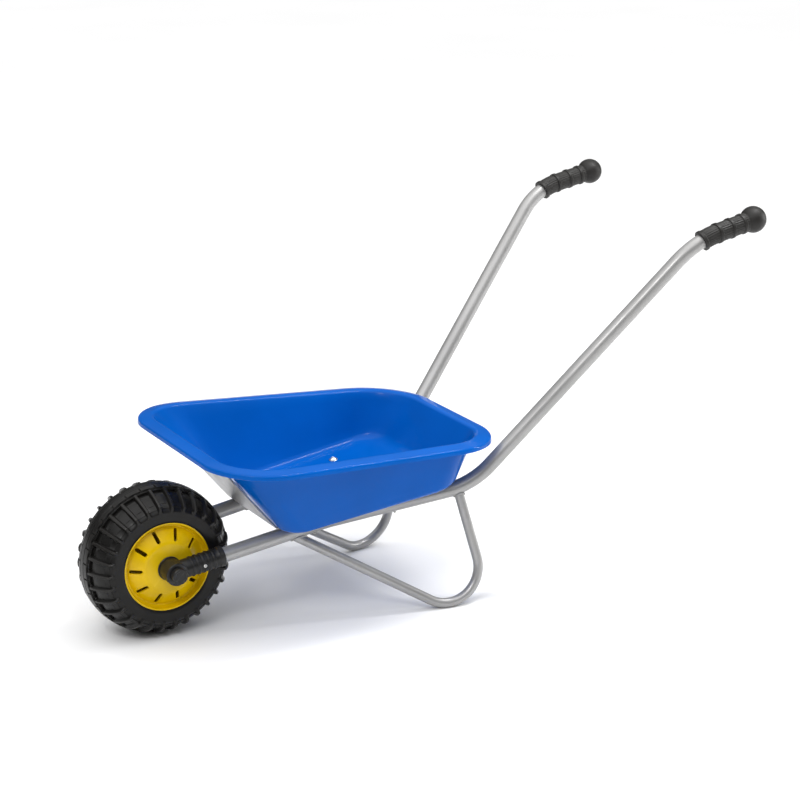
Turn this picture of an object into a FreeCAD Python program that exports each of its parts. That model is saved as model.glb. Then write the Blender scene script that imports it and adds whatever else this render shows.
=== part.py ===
import FreeCAD, Part
import math
import os

# Child's wheelbarrow. Units are millimetres.
# +X points back towards the handles, +Z is up, left is -Y as seen by the person pushing it.
# The origin is on the floor, in the middle of the overall length and width.

Vector = FreeCAD.Vector
UP = Vector(0, 0, 1)
ACROSS = Vector(0, 1, 0)

# Wheel
AXLE_X = -357.0
TYRE_RADIUS = 100.0
AXLE_Z = TYRE_RADIUS
CROWN_ARC = 72.0
TREAD_HEIGHT = 4.6
TREAD_PITCHES = 30
TREAD_ROOT = 1.2
SHOULDER_RIB_ANGLE = 3.4
CROWN_LUG_ANGLE = 9.4
SHOULDER_INNER_Y = 17.0
SHOULDER_OUTER_Y = 47.5
SHOULDER_FOOT_RADIUS = 75.0
SHOULDER_FOOT_RISE = 1.5
SHOULDER_FOOT_FALL = 1.0
SHOULDER_ROOT_Y = 44.7
TREAD_DRAFT = 0.8
CROWN_LUG_HALF = 13.5
CROWN_LUG_DRAFT = 1.0
CENTRE_RIB_HALF = 5.0
CENTRE_RIB_RADIUS = 98.0
CENTRE_RIB_DRAFT = 0.6
TYRE_WALL = 5.0
SIDEWALL_Y = 46.5
SIDEWALL_TOP_RADIUS = 74.0
SIDEWALL_LEAN = 1.5
BEAD_CHAMFER = 0.8
BEAD_STEP = 2.0
BEAD_INNER_Y = 36.0
BARREL_RADIUS = 57.5
LIP_RADIUS = 58.9
LIP_INNER_Y = 43.0
LIP_OUTER_Y = 44.6
RIM_WALL = 2.2
TROUGH_Y = 34.6
TROUGH_RADIUS = 53.4
TROUGH_HALF = 1.4
LIP_TAPER = 6.0
LIP_RING = 1.9
DISH_CREST_RADIUS = 33.5
DISH_CREST_Y = 49.0
HUB_BOSS_RADIUS = 14.0
WEB_SHEET = 2.2
BUSH_RADIUS = 9.0
BUSH_LENGTH = 24.0
SLOT_COUNT = 10
SLOT_INNER_RADIUS = 35.0
SLOT_OUTER_RADIUS = 50.2
SLOT_WIDTH = 4.6
DISH_CREST_DROP = 1.0
DISH_CREST_ROUND = 2.4
DISH_BACK_CREST = 0.6
DISH_BACK_TROUGH = 0.8
SEAM = 0.5
HUB_TUBE_BORE = 6.0

# Axle and what sits on it
AXLE_RADIUS = 5.0
AXLE_HALF_LENGTH = 83.0
AXLE_CHAMFER = 0.8
RUNNING_CLEARANCE = 0.05
SPACER_RADIUS = 16.0
SPACER_GAP = 0.4
SPACER_CHAMFER = 0.6
EYE_RADIUS = 15.0
EYE_INNER_Y = 52.0
EYE_OUTER_Y = 77.0
CAP_RADIUS = 10.6
CAP_OUTER_Y = 85.6
CAP_CHAMFER = 1.5
CAP_FREE = 0.2

# Gap between fitted parts, and how far a cutter reaches past what it cuts
FIT_GAP = 0.05
CUT_PAST = 10.0

# Frame tube centre line, left out of AXLE_X in X
TUBE_RADIUS = 10.0
TUBE_WALL = 1.5
FORK_END = (0.0, 64.5, 100.0)
FORK_BEND = (215.8, 69.3, 132.7)
HEEL_BEND = (416.9, 103.0, 158.7)
WRIST_BEND = (701.9, 195.5, 476.7)
GRIP_END = (796.1, 194.6, 496.2)
FORK_BEND_RADIUS = 120.0
HEEL_BEND_RADIUS = 100.0
WRIST_BEND_RADIUS = 109.0
FORK_OVERRUN = 9.0
TUBE_END_INSIDE_BALL = 6.0

# Sleeve on the fork end
SLEEVE_LENGTH = 68.0
SLEEVE_RADIUS = 12.4
SLEEVE_RIB_RADIUS = 13.4
SLEEVE_RIB_WIDTH = 3.2
SLEEVE_RIB_PITCH = 7.4
SLEEVE_RIB_START = 22.0
SLEEVE_RIB_COUNT = 5
SLEEVE_COLLAR = 7.0
SLEEVE_SCREW_AT = 38.0
SLEEVE_SCREW_RADIUS = 1.75
SLEEVE_SCREW_LENGTH = 8.0
SLEEVE_SCREW_HEAD = 3.0
SLEEVE_SCREW_HEAD_HEIGHT = 1.6
SLEEVE_SCREW_PROUD = 0.2

# Grip
GRIP_LENGTH = 87.0
GRIP_RADIUS = 12.5
GRIP_RING_RADIUS = 14.1
GRIP_RING_WIDTH = 4.4
GRIP_RING_CHAMFER = 0.7
GRIP_RINGS_FROM_BALL = (84.8, 60.3, 39.2, 20.1)
BALL_RADIUS = 18.0

# Leg, a single tube bent into a V
LEG_RADIUS = 6.5
LEG_WALL = 1.2
LEG_FRONT = (160.0, 66.0, 124.8)
LEG_VERTEX = (434.4, 145.9, -41.7)
LEG_REAR = (395.8, 99.6, 157.2)
LEG_BEND_RADIUS = 46.5

# Tray. Front and rear are distances behind the axle, the rest are half widths and corner radii.
SHEET = 1.5
FLOOR_FRONT = 144.6
FLOOR_REAR = 393.5
FLOOR_FRONT_HALF = 112.0
FLOOR_REAR_HALF = 126.0
FLOOR_FRONT_CORNER = 28.0
FLOOR_REAR_CORNER = 42.0
FLOOR_SLOPE = 0.1333
FLOOR_Z_AT_FRONT = 133.8
RIM_FRONT = 29.2
RIM_REAR = 451.0
RIM_FRONT_HALF = 183.8
RIM_REAR_HALF = 156.4
RIM_FRONT_CORNER = 84.0
RIM_REAR_CORNER = 92.0
RIM_SLOPE = -0.051
RIM_LEVEL_AT = 300.0
RIM_LEVEL_Z = 235.8
FILLET_HEIGHT = 9.0
FILLET_STEPS = 4
FRONT_WALL_ANGLE = 50.0
SIDE_WALL_ANGLE = 68.0
REAR_WALL_ANGLE = 58.0
FLANGE_WIDTH = 17.0
FLANGE_CREST_RADIUS = 6.0
FLANGE_EDGE_RADIUS = 4.0
FLANGE_TILT = 9.0
FLANGE_WALL_ANGLE = 62.0
LIP_ANGLE = 84.0
LIP_DROP = 7.0
LIP_FLARE = 0.4
BEND_STEPS = 4
SEWING_GAP = 0.01

# Plate under the front of the tray, strap under the rear, and the tray screws
PLATE_SHEET = 1.5
PLATE_HALF = 71.0
PLATE_FOOT = 64.0
PLATE_TOP_Z = 226.0
STRAP_WIDTH = 26.0
STRAP_OVERHANG = 12.0
SCREW_FRONT_AT = 195.0
SCREW_REAR_AT = 306.0
SCREW_RADIUS = 1.9
SCREW_HOLE = 1.95
SCREW_HEAD_RADIUS = 5.2
SCREW_HEAD_HEIGHT = 2.8
SCREW_TIP = 3.5
SCREW_HOLE_START = 4.0
WASHER_RADIUS = 6.3
WASHER_SHEET = 0.8


def at(point, side=1):
    """A point given from the axle, on the right (+1) or the left (-1)."""
    return Vector(point[0] + AXLE_X, side * point[1], point[2])


def mirrored(shape):
    return shape.mirror(Vector(0, 0, 0), ACROSS)


def unit(vector):
    return Vector(vector).normalize()


def rod(radius, start, direction, length):
    return Part.makeCylinder(radius, length, start, direction)


def bent_edges(points, radii):
    """Straight edges joined by arcs of the given radii at the inner points."""
    edges = []
    last = points[0]
    for index in range(1, len(points) - 1):
        corner = points[index]
        back = unit(points[index - 1] - corner)
        ahead = unit(points[index + 1] - corner)
        half = back.getAngle(ahead) / 2
        reach = radii[index - 1] / math.tan(half)
        bisector = unit(back + ahead)
        middle = corner + bisector * (radii[index - 1] / math.sin(half) - radii[index - 1])
        entry = corner + back * reach
        leave = corner + ahead * reach
        edges.append(Part.makeLine(last, entry))
        edges.append(Part.Arc(entry, middle, leave).toShape())
        last = leave
    edges.append(Part.makeLine(last, points[-1]))
    return edges


def swept(edges, radius):
    """A round bar of the given radius along joined edges."""
    start = edges[0].valueAt(edges[0].FirstParameter)
    direction = edges[0].tangentAt(edges[0].FirstParameter)
    ring = Part.Wire([Part.makeCircle(radius, start, direction)])
    return Part.Wire(edges).makePipeShell([ring], True, False)


def tube(edges, radius, wall):
    return swept(edges, radius).cut(swept(edges, radius - wall))


def ring_face(points):
    """A face in the plane of the axle line, from (y, radius) corners."""
    corners = [Vector(0, y, radius) for y, radius in points]
    return Part.Face(Part.makePolygon(corners + [corners[0]]))


def turned(face, start_angle=0.0, angle=360.0):
    """Turn a face about the axle, then move it to the axle."""
    solid = face.revolve(Vector(0, 0, 0), ACROSS, angle)
    solid.rotate(Vector(0, 0, 0), ACROSS, start_angle)
    solid.translate(Vector(AXLE_X, 0, AXLE_Z))
    return solid


def crown_radius(y, height=0.0):
    """Radius of the round crown at a distance y from the middle of the tyre."""
    arc = CROWN_ARC + height
    return TYRE_RADIUS - CROWN_ARC + math.sqrt(arc * arc - y * y)


def crown_arc(start_y, end_y, height=0.0):
    middle_y = (start_y + end_y) / 2
    points = [Vector(0, y, crown_radius(y, height)) for y in (start_y, middle_y, end_y)]
    return Part.Arc(points[0], points[1], points[2]).toShape()


def line_edges(points):
    corners = [Vector(0, y, radius) for y, radius in points]
    return [Part.makeLine(first, second) for first, second in zip(corners[:-1], corners[1:])]


# ---------------------------------------------------------------- wheel

def carcass():
    """The hollow tyre without its tread: two beads, two sidewalls and a round crown."""
    outer_y = SIDEWALL_Y - SIDEWALL_LEAN
    outer_r = crown_radius(outer_y, -TREAD_HEIGHT)
    inner_y = SIDEWALL_Y - TYRE_WALL
    inner_r = crown_radius(inner_y, -TREAD_HEIGHT - TYRE_WALL)
    bead_top = BARREL_RADIUS + TYRE_WALL
    right_out = [
        (BEAD_INNER_Y, BARREL_RADIUS + FIT_GAP),
        (LIP_INNER_Y - FIT_GAP, BARREL_RADIUS + FIT_GAP),
        (LIP_INNER_Y - FIT_GAP, LIP_RADIUS + FIT_GAP),
        (LIP_OUTER_Y + BEAD_CHAMFER, LIP_RADIUS + FIT_GAP),
        (SIDEWALL_Y, LIP_RADIUS + TYRE_WALL),
        (SIDEWALL_Y, SIDEWALL_TOP_RADIUS),
        (outer_y, outer_r),
    ]
    right_in = [
        (inner_y, inner_r),
        (inner_y, bead_top + BEAD_STEP),
        (BEAD_INNER_Y, bead_top),
        (BEAD_INNER_Y, BARREL_RADIUS + FIT_GAP),
    ]
    left_out = [(-y, radius) for y, radius in reversed(right_out)]
    left_in = [(-y, radius) for y, radius in reversed(right_in)]
    edges = line_edges(right_out)
    edges.append(crown_arc(outer_y, -outer_y, -TREAD_HEIGHT))
    edges += line_edges(left_out)
    edges += line_edges(left_in)
    edges.append(crown_arc(-inner_y, inner_y, -TREAD_HEIGHT - TYRE_WALL))
    edges += line_edges(right_in)
    return Part.Face(Part.Wire(edges))


def shoulder_rib_face():
    """Section of a rib that runs over the shoulder of the tyre and down its side."""
    root = -TREAD_HEIGHT - TREAD_ROOT
    outer_root_y = SHOULDER_ROOT_Y - TREAD_DRAFT
    inner_root_y = SHOULDER_INNER_Y + TREAD_DRAFT
    edges = [crown_arc(SHOULDER_INNER_Y, SHOULDER_OUTER_Y)]
    edges += line_edges([
        (SHOULDER_OUTER_Y, crown_radius(SHOULDER_OUTER_Y)),
        (SHOULDER_OUTER_Y, SHOULDER_FOOT_RADIUS + SHOULDER_FOOT_RISE),
        (SHOULDER_ROOT_Y, SHOULDER_FOOT_RADIUS - SHOULDER_FOOT_FALL),
        (outer_root_y, crown_radius(outer_root_y, root)),
    ])
    edges.append(crown_arc(outer_root_y, inner_root_y, root))
    edges += line_edges([
        (inner_root_y, crown_radius(inner_root_y, root)),
        (SHOULDER_INNER_Y, crown_radius(SHOULDER_INNER_Y)),
    ])
    return Part.Face(Part.Wire(edges))


def crown_lug_face():
    """Section of a lug across the middle of the tread."""
    root = -TREAD_HEIGHT - TREAD_ROOT
    half = CROWN_LUG_HALF
    root_half = half + CROWN_LUG_DRAFT
    root_radius = crown_radius(root_half, root)
    edges = [crown_arc(-half, half)]
    edges += line_edges([(half, crown_radius(half)), (root_half, root_radius)])
    edges.append(crown_arc(root_half, -root_half, root))
    edges += line_edges([(-root_half, root_radius), (-half, crown_radius(half))])
    return Part.Face(Part.Wire(edges))


def make_tyre():
    pitch = 360.0 / TREAD_PITCHES
    right = shoulder_rib_face()
    left = right.mirror(Vector(0, 0, 0), ACROSS)
    lug = crown_lug_face()
    rib_root = crown_radius(CENTRE_RIB_HALF, -TREAD_HEIGHT) - TREAD_ROOT
    rib_root_half = CENTRE_RIB_HALF + CENTRE_RIB_DRAFT
    rib = turned(ring_face([
        (-rib_root_half, rib_root),
        (rib_root_half, rib_root),
        (CENTRE_RIB_HALF, CENTRE_RIB_RADIUS),
        (-CENTRE_RIB_HALF, CENTRE_RIB_RADIUS),
    ]))
    tread = [rib]
    for index in range(TREAD_PITCHES):
        rib_start = index * pitch - SHOULDER_RIB_ANGLE / 2
        lug_start = (index + 0.5) * pitch - CROWN_LUG_ANGLE / 2
        tread.append(turned(right, rib_start, SHOULDER_RIB_ANGLE))
        tread.append(turned(left, rib_start, SHOULDER_RIB_ANGLE))
        tread.append(turned(lug, lug_start, CROWN_LUG_ANGLE))
    return turned(carcass()).multiFuse(tread)


def slot_cutter(angle):
    """A round-ended radial slot through the dish."""
    height = DISH_CREST_Y + CUT_PAST
    half = SLOT_WIDTH / 2
    length = SLOT_OUTER_RADIUS - SLOT_INNER_RADIUS - SLOT_WIDTH
    bar = Part.makeBox(length, height, SLOT_WIDTH, Vector(SLOT_INNER_RADIUS + half, 0, -half))
    ends = [
        Part.makeCylinder(half, height, Vector(SLOT_INNER_RADIUS + half + step, 0, 0), ACROSS)
        for step in (0.0, length)
    ]
    cutter = bar.multiFuse(ends)
    cutter.translate(Vector(0, TROUGH_Y - 2 * RIM_WALL, 0))
    cutter.rotate(Vector(0, 0, 0), ACROSS, -angle)
    cutter.translate(Vector(AXLE_X, 0, AXLE_Z))
    return cutter


def make_rim_half():
    """Right half of the rim: barrel and lip, slotted dish with a trough round it, boss and inner web."""
    barrel_in = BARREL_RADIUS - RIM_WALL
    ring_in = LIP_RADIUS - LIP_RING
    bore = BUSH_RADIUS + FIT_GAP
    seam_radius = barrel_in + SEAM
    back_of_crest = DISH_CREST_Y - RIM_WALL
    back_of_trough = TROUGH_Y - RIM_WALL
    boss_end = DISH_CREST_Y - RIM_WALL / 2
    barrel = turned(ring_face([
        (0.0, barrel_in),
        (LIP_OUTER_Y - LIP_TAPER, barrel_in),
        (LIP_OUTER_Y, ring_in),
        (LIP_OUTER_Y, LIP_RADIUS),
        (LIP_INNER_Y, LIP_RADIUS),
        (LIP_INNER_Y, BARREL_RADIUS),
        (0.0, BARREL_RADIUS),
    ]))
    dish = turned(ring_face([
        (LIP_OUTER_Y - LIP_TAPER, seam_radius),
        (TROUGH_Y, TROUGH_RADIUS + TROUGH_HALF),
        (TROUGH_Y, TROUGH_RADIUS - TROUGH_HALF),
        (DISH_CREST_Y - DISH_CREST_DROP, DISH_CREST_RADIUS + DISH_CREST_ROUND),
        (DISH_CREST_Y, DISH_CREST_RADIUS),
        (DISH_CREST_Y, bore),
        (back_of_crest, bore),
        (back_of_crest, DISH_CREST_RADIUS - DISH_BACK_CREST),
        (back_of_trough, TROUGH_RADIUS - TROUGH_HALF - DISH_BACK_TROUGH),
        (back_of_trough, seam_radius),
    ]))
    boss = turned(ring_face([
        (0.0, bore), (boss_end, bore), (boss_end, HUB_BOSS_RADIUS), (0.0, HUB_BOSS_RADIUS),
    ]))
    web_inner = HUB_BOSS_RADIUS - SEAM
    web = turned(ring_face([
        (0.0, web_inner), (WEB_SHEET, web_inner), (WEB_SHEET, seam_radius), (0.0, seam_radius),
    ]))
    slots = [slot_cutter(index * 360.0 / SLOT_COUNT) for index in range(SLOT_COUNT)]
    return barrel.multiFuse([dish, boss, web]).cut(Part.makeCompound(slots))


def make_hub_tube():
    """Sleeve that keeps the two bushes apart inside the wheel."""
    reach = DISH_CREST_Y - BUSH_LENGTH
    return turned(ring_face([
        (-reach, HUB_TUBE_BORE), (reach, HUB_TUBE_BORE), (reach, BUSH_RADIUS), (-reach, BUSH_RADIUS),
    ]))


def make_bush():
    bore = AXLE_RADIUS + RUNNING_CLEARANCE
    inner = DISH_CREST_Y - BUSH_LENGTH
    return turned(ring_face([
        (inner, bore), (DISH_CREST_Y, bore), (DISH_CREST_Y, BUSH_RADIUS), (inner, BUSH_RADIUS),
    ]))


# ---------------------------------------------------------------- axle and fork ends

def make_axle():
    half = AXLE_HALF_LENGTH
    bar = rod(AXLE_RADIUS, Vector(AXLE_X, -half, AXLE_Z), ACROSS, 2 * half)
    return bar.makeChamfer(AXLE_CHAMFER, [edge for edge in bar.Edges if edge.Closed])


def axle_hole(radius):
    length = 2 * (CAP_OUTER_Y + CUT_PAST)
    return rod(radius, Vector(AXLE_X, -length / 2, AXLE_Z), ACROSS, length)


def make_spacer():
    inner = DISH_CREST_Y + SPACER_GAP
    return turned(ring_face([
        (inner, AXLE_RADIUS + FIT_GAP), (EYE_INNER_Y, AXLE_RADIUS + FIT_GAP),
        (EYE_INNER_Y, SPACER_RADIUS),
        (inner + SPACER_CHAMFER, SPACER_RADIUS), (inner, SPACER_RADIUS - SPACER_CHAMFER),
    ]))


def make_cap():
    bore = AXLE_RADIUS + FIT_GAP
    bore_end = AXLE_HALF_LENGTH + CAP_FREE
    return turned(ring_face([
        (EYE_OUTER_Y, bore), (bore_end, bore), (bore_end, 0.0),
        (CAP_OUTER_Y, 0.0), (CAP_OUTER_Y, CAP_RADIUS - CAP_CHAMFER),
        (CAP_OUTER_Y - CAP_CHAMFER, CAP_RADIUS), (EYE_OUTER_Y, CAP_RADIUS),
    ]))


def fork_direction():
    return unit(at(FORK_BEND) - at(FORK_END))


def sleeve_screw_axis():
    """Start under the head and direction, pointing inwards through the outer side of the sleeve."""
    centre = at(FORK_END) + fork_direction() * SLEEVE_SCREW_AT
    inwards = Vector(0, -1, 0)
    return centre - inwards * (SLEEVE_RADIUS + SLEEVE_SCREW_PROUD), inwards


def make_sleeve():
    """Ribbed plastic end cap over the front of the fork, with the eye that holds the axle."""
    along = fork_direction()
    start = at(FORK_END)
    barrel = rod(SLEEVE_RADIUS, start, along, SLEEVE_LENGTH)
    pieces = [rod(EYE_RADIUS, Vector(AXLE_X, EYE_INNER_Y, AXLE_Z), ACROSS, EYE_OUTER_Y - EYE_INNER_Y)]
    for index in range(SLEEVE_RIB_COUNT):
        rib_start = start + along * (SLEEVE_RIB_START + index * SLEEVE_RIB_PITCH)
        pieces.append(rod(SLEEVE_RIB_RADIUS, rib_start, along, SLEEVE_RIB_WIDTH))
    collar_start = start + along * (SLEEVE_LENGTH - SLEEVE_COLLAR)
    pieces.append(rod(SLEEVE_RIB_RADIUS, collar_start, along, SLEEVE_COLLAR))
    body = barrel.multiFuse(pieces)
    tube_start = start - along * (FORK_OVERRUN + FIT_GAP)
    bore = rod(TUBE_RADIUS + FIT_GAP, tube_start, along, SLEEVE_LENGTH + FORK_OVERRUN + CUT_PAST)
    screw_start, inwards = sleeve_screw_axis()
    screw_hole = rod(SLEEVE_SCREW_RADIUS + FIT_GAP, screw_start, inwards, SLEEVE_SCREW_LENGTH)
    return body.cut(bore).cut(axle_hole(AXLE_RADIUS + FIT_GAP)).cut(screw_hole)


def make_sleeve_screw():
    start, inwards = sleeve_screw_axis()
    shank = rod(SLEEVE_SCREW_RADIUS, start, inwards, SLEEVE_SCREW_LENGTH)
    head_start = start - inwards * SLEEVE_SCREW_HEAD_HEIGHT
    head = rod(SLEEVE_SCREW_HEAD, head_start, inwards, SLEEVE_SCREW_HEAD_HEIGHT)
    return head.fuse(shank).cut(make_sleeve())


# ---------------------------------------------------------------- frame

def frame_path(start_overrun=FORK_OVERRUN, end_short=TUBE_END_INSIDE_BALL):
    points = [at(point) for point in (FORK_END, FORK_BEND, HEEL_BEND, WRIST_BEND, GRIP_END)]
    points[0] = points[0] - unit(points[1] - points[0]) * start_overrun
    points[-1] = points[-1] - unit(points[-1] - points[-2]) * end_short
    return bent_edges(points, [FORK_BEND_RADIUS, HEEL_BEND_RADIUS, WRIST_BEND_RADIUS])


def floor_z(behind_axle, lift=0.0):
    """Height of the underside of the tray floor."""
    return FLOOR_Z_AT_FRONT + FLOOR_SLOPE * (behind_axle - FLOOR_FRONT) + lift


def floor_normal():
    return unit(Vector(-FLOOR_SLOPE, 0, 1))


def tube_y_at(behind_axle):
    """Half spacing of the frame tubes at a distance behind the axle."""
    first, second = (FORK_END, FORK_BEND) if behind_axle < FORK_BEND[0] else (FORK_BEND, HEEL_BEND)
    share = (behind_axle - first[0]) / (second[0] - first[0])
    return first[1] + share * (second[1] - first[1])


def screw_seats():
    """Points on top of the tray floor where the right-hand tray screws go in."""
    seats = []
    for behind_axle in (SCREW_FRONT_AT, SCREW_REAR_AT):
        height = floor_z(behind_axle, SHEET)
        seats.append(Vector(behind_axle + AXLE_X, tube_y_at(behind_axle), height))
    return seats


def screw_length():
    return SHEET + PLATE_SHEET + 2 * TUBE_RADIUS + SCREW_TIP


def screw_holes():
    up = floor_normal()
    length = screw_length() + 2 * SCREW_HOLE_START
    return Part.makeCompound([
        rod(SCREW_HOLE, seat + up * SCREW_HOLE_START, up * -1, length) for seat in screw_seats()
    ])


def make_frame_tube():
    body = tube(frame_path(), TUBE_RADIUS, TUBE_WALL)
    screw_start, inwards = sleeve_screw_axis()
    small_hole = rod(SLEEVE_SCREW_RADIUS + FIT_GAP, screw_start, inwards, SLEEVE_SCREW_LENGTH)
    return body.cut(axle_hole(AXLE_RADIUS + FIT_GAP)).cut(screw_holes()).cut(small_hole)


def make_leg():
    """Leg tube with both ends coped to the underside of the frame tube."""
    points = [at(point) for point in (LEG_FRONT, LEG_VERTEX, LEG_REAR)]
    edges = bent_edges(points, [LEG_BEND_RADIUS])
    body = tube(edges, LEG_RADIUS, LEG_WALL).cut(swept(frame_path(), TUBE_RADIUS))
    return max(body.Solids, key=lambda solid: solid.Volume)


def path_point(edges, distance_from_end):
    """Point and direction on a path, measured back from its end."""
    left = distance_from_end
    for edge in reversed(edges):
        if left <= edge.Length:
            parameter = edge.getParameterByLength(edge.Length - left)
            return edge.valueAt(parameter), edge.tangentAt(parameter)
        left -= edge.Length
    return edges[0].valueAt(edges[0].FirstParameter), edges[0].tangentAt(edges[0].FirstParameter)


def last_stretch(edges, length):
    """The end of a path, cut to the given length."""
    kept = []
    left = length
    for edge in reversed(edges):
        if left >= edge.Length:
            kept.insert(0, edge)
            left -= edge.Length
            continue
        start = edge.getParameterByLength(edge.Length - left)
        kept.insert(0, edge.Curve.toShape(start, edge.LastParameter))
        break
    return kept


def make_grip():
    edges = frame_path(end_short=0.0)
    barrel = swept(last_stretch(edges, GRIP_LENGTH), GRIP_RADIUS)
    pieces = [Part.makeSphere(BALL_RADIUS, at(GRIP_END))]
    for distance in GRIP_RINGS_FROM_BALL:
        centre, along = path_point(edges, distance)
        ring = rod(GRIP_RING_RADIUS, centre - along * (GRIP_RING_WIDTH / 2), along, GRIP_RING_WIDTH)
        pieces.append(ring.makeChamfer(GRIP_RING_CHAMFER, [edge for edge in ring.Edges if edge.Closed]))
    bore_path = frame_path(end_short=TUBE_END_INSIDE_BALL - FIT_GAP)
    return barrel.multiFuse(pieces).cut(swept(bore_path, TUBE_RADIUS + FIT_GAP))


# ---------------------------------------------------------------- tray

def outline(front, rear, front_half, rear_half, front_corner, rear_corner, slope, z_at_front):
    """Closed rounded outline with tapering sides, in a plane that slopes along X."""
    tilt = math.atan(slope)
    length = (rear - front) / math.cos(tilt)
    corners = [(0.0, -front_half), (length, -rear_half), (length, rear_half), (0.0, front_half)]
    radii = [front_corner, rear_corner, rear_corner, front_corner]
    entries = []
    for index in range(4):
        corner = Vector(corners[index][0], corners[index][1], 0)
        before = Vector(corners[index - 1][0], corners[index - 1][1], 0)
        after = Vector(corners[(index + 1) % 4][0], corners[(index + 1) % 4][1], 0)
        back = unit(before - corner)
        ahead = unit(after - corner)
        half = back.getAngle(ahead) / 2
        radius = radii[index]
        reach = radius / math.tan(half)
        middle = corner + unit(back + ahead) * (radius / math.sin(half) - radius)
        entries.append((corner + back * reach, middle, corner + ahead * reach))
    edges = []
    for index in range(4):
        entry, middle, leave = entries[index]
        edges.append(Part.Arc(entry, middle, leave).toShape())
        edges.append(Part.makeLine(leave, entries[(index + 1) % 4][0]))
    wire = Part.Wire(edges)
    wire.rotate(Vector(0, 0, 0), ACROSS, -math.degrees(tilt))
    wire.translate(Vector(front + AXLE_X, 0, z_at_front))
    return wire


def bend_inset(angle, bend_height, height):
    """How far out of the floor outline a floor bend is at a height. The bend ends at bend_height."""
    radius = bend_height / (1 - math.cos(angle))
    return radius * math.sin(math.acos(1 - height / radius)) - radius * math.tan(angle / 2)


def floor_wires(skin):
    """Outlines up the bend between floor and walls. skin is 0 outside and SHEET inside."""
    bend_height = FILLET_HEIGHT - skin / 2
    angles = [math.radians(angle) for angle in (FRONT_WALL_ANGLE, SIDE_WALL_ANGLE, REAR_WALL_ANGLE)]
    side_radius = bend_height / (1 - math.cos(angles[1]))
    wires = []
    for step in range(FILLET_STEPS):
        turn = angles[1] * step / (FILLET_STEPS - 1)
        height = side_radius * (1 - math.cos(turn))
        front, side, rear = [
            bend_inset(angle, bend_height, height) - skin * math.tan(angle / 2) for angle in angles
        ]
        start = FLOOR_FRONT - front
        wires.append(outline(
            start, FLOOR_REAR + rear, FLOOR_FRONT_HALF + side, FLOOR_REAR_HALF + side,
            FLOOR_FRONT_CORNER + side, FLOOR_REAR_CORNER + side,
            FLOOR_SLOPE, floor_z(start, skin + height),
        ))
    return wires


def front_wall_line():
    """Lowest and highest points of the outside of the flat front wall, in the middle plane."""
    angle = math.radians(FRONT_WALL_ANGLE)
    low_at = FLOOR_FRONT - bend_inset(angle, FILLET_HEIGHT, FILLET_HEIGHT)
    low = Vector(low_at + AXLE_X, 0, floor_z(low_at, FILLET_HEIGHT))
    inset, height = rim_section(0.0)[0][0]
    high_at = RIM_FRONT + inset
    high = Vector(high_at + AXLE_X, 0, rim_z(high_at) + height)
    return low, high


def rim_z(behind_axle):
    """Height of the plane the rim is drawn in."""
    return RIM_LEVEL_Z + RIM_SLOPE * (behind_axle - RIM_LEVEL_AT)


def rim_wire(inset, height):
    """Outline parallel to the rim, moved inwards by inset and up by height."""
    front = RIM_FRONT + inset
    return outline(
        front, RIM_REAR - inset, RIM_FRONT_HALF - inset, RIM_REAR_HALF - inset,
        RIM_FRONT_CORNER - inset, RIM_REAR_CORNER - inset, RIM_SLOPE,
        rim_z(front) + height,
    )


def rim_section(skin):
    """Bands of (inset, height) up from the wall, over the flange and down the lip."""
    tilt = math.radians(FLANGE_TILT)
    wall = math.radians(FLANGE_WALL_ANGLE)
    lip = math.radians(LIP_ANGLE)
    crest = FLANGE_CREST_RADIUS + skin
    edge = FLANGE_EDGE_RADIUS - SHEET + skin
    edge_inset = FLANGE_EDGE_RADIUS
    edge_height = -FLANGE_EDGE_RADIUS
    crest_inset = FLANGE_WIDTH
    flat = crest_inset - edge_inset
    top = edge_height + FLANGE_EDGE_RADIUS / math.cos(tilt) + flat * math.tan(tilt)
    crest_centre = top - (FLANGE_CREST_RADIUS + SHEET) / math.cos(tilt)
    bend = []
    for step in range(BEND_STEPS):
        turn = wall + (-tilt - wall) * step / (BEND_STEPS - 1)
        bend.append((crest_inset + crest * math.sin(turn), crest_centre + crest * math.cos(turn)))
    outer = []
    for step in range(BEND_STEPS):
        turn = tilt + (lip - tilt) * step / (BEND_STEPS - 1)
        outer.append((edge_inset - edge * math.sin(turn), edge_height + edge * math.cos(turn)))
    foot = (edge_inset - edge * math.sin(lip) - LIP_FLARE, -LIP_DROP)
    return bend, outer, foot


def loft(wires):
    return Part.makeLoft(wires, False, True).Faces


def skin_faces(skin):
    """All faces of one skin of the tray between its floor and the foot of its lip."""
    floor_bend = floor_wires(skin)
    crest, edge, foot = rim_section(skin)
    crest_wires = [rim_wire(inset, height) for inset, height in crest]
    edge_wires = [rim_wire(inset, height) for inset, height in edge]
    foot_wire = rim_wire(foot[0], foot[1])
    faces = loft(floor_bend + crest_wires + edge_wires + [foot_wire])
    return faces, floor_bend[0], foot_wire


def make_tray():
    outer, outer_floor, outer_foot = skin_faces(0.0)
    inner, inner_floor, inner_foot = skin_faces(SHEET)
    faces = outer + inner
    faces += [Part.Face(outer_floor), Part.Face(inner_floor)]
    faces += loft([outer_foot, inner_foot])
    body = Part.makeCompound(faces)
    body.sewShape(SEWING_GAP)
    solid = Part.makeSolid(body.Shells[0] if body.ShapeType != "Shell" else body)
    if solid.Volume < 0:
        solid.reverse()
    holes = screw_holes()
    return solid.cut(holes).cut(mirrored(holes))


# ---------------------------------------------------------------- plate, strap and screws

def frame_bars():
    """Both frame tubes as plain bars, for trimming the parts welded to them."""
    bar = swept(frame_path(), TUBE_RADIUS)
    return bar, mirrored(bar)


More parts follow.
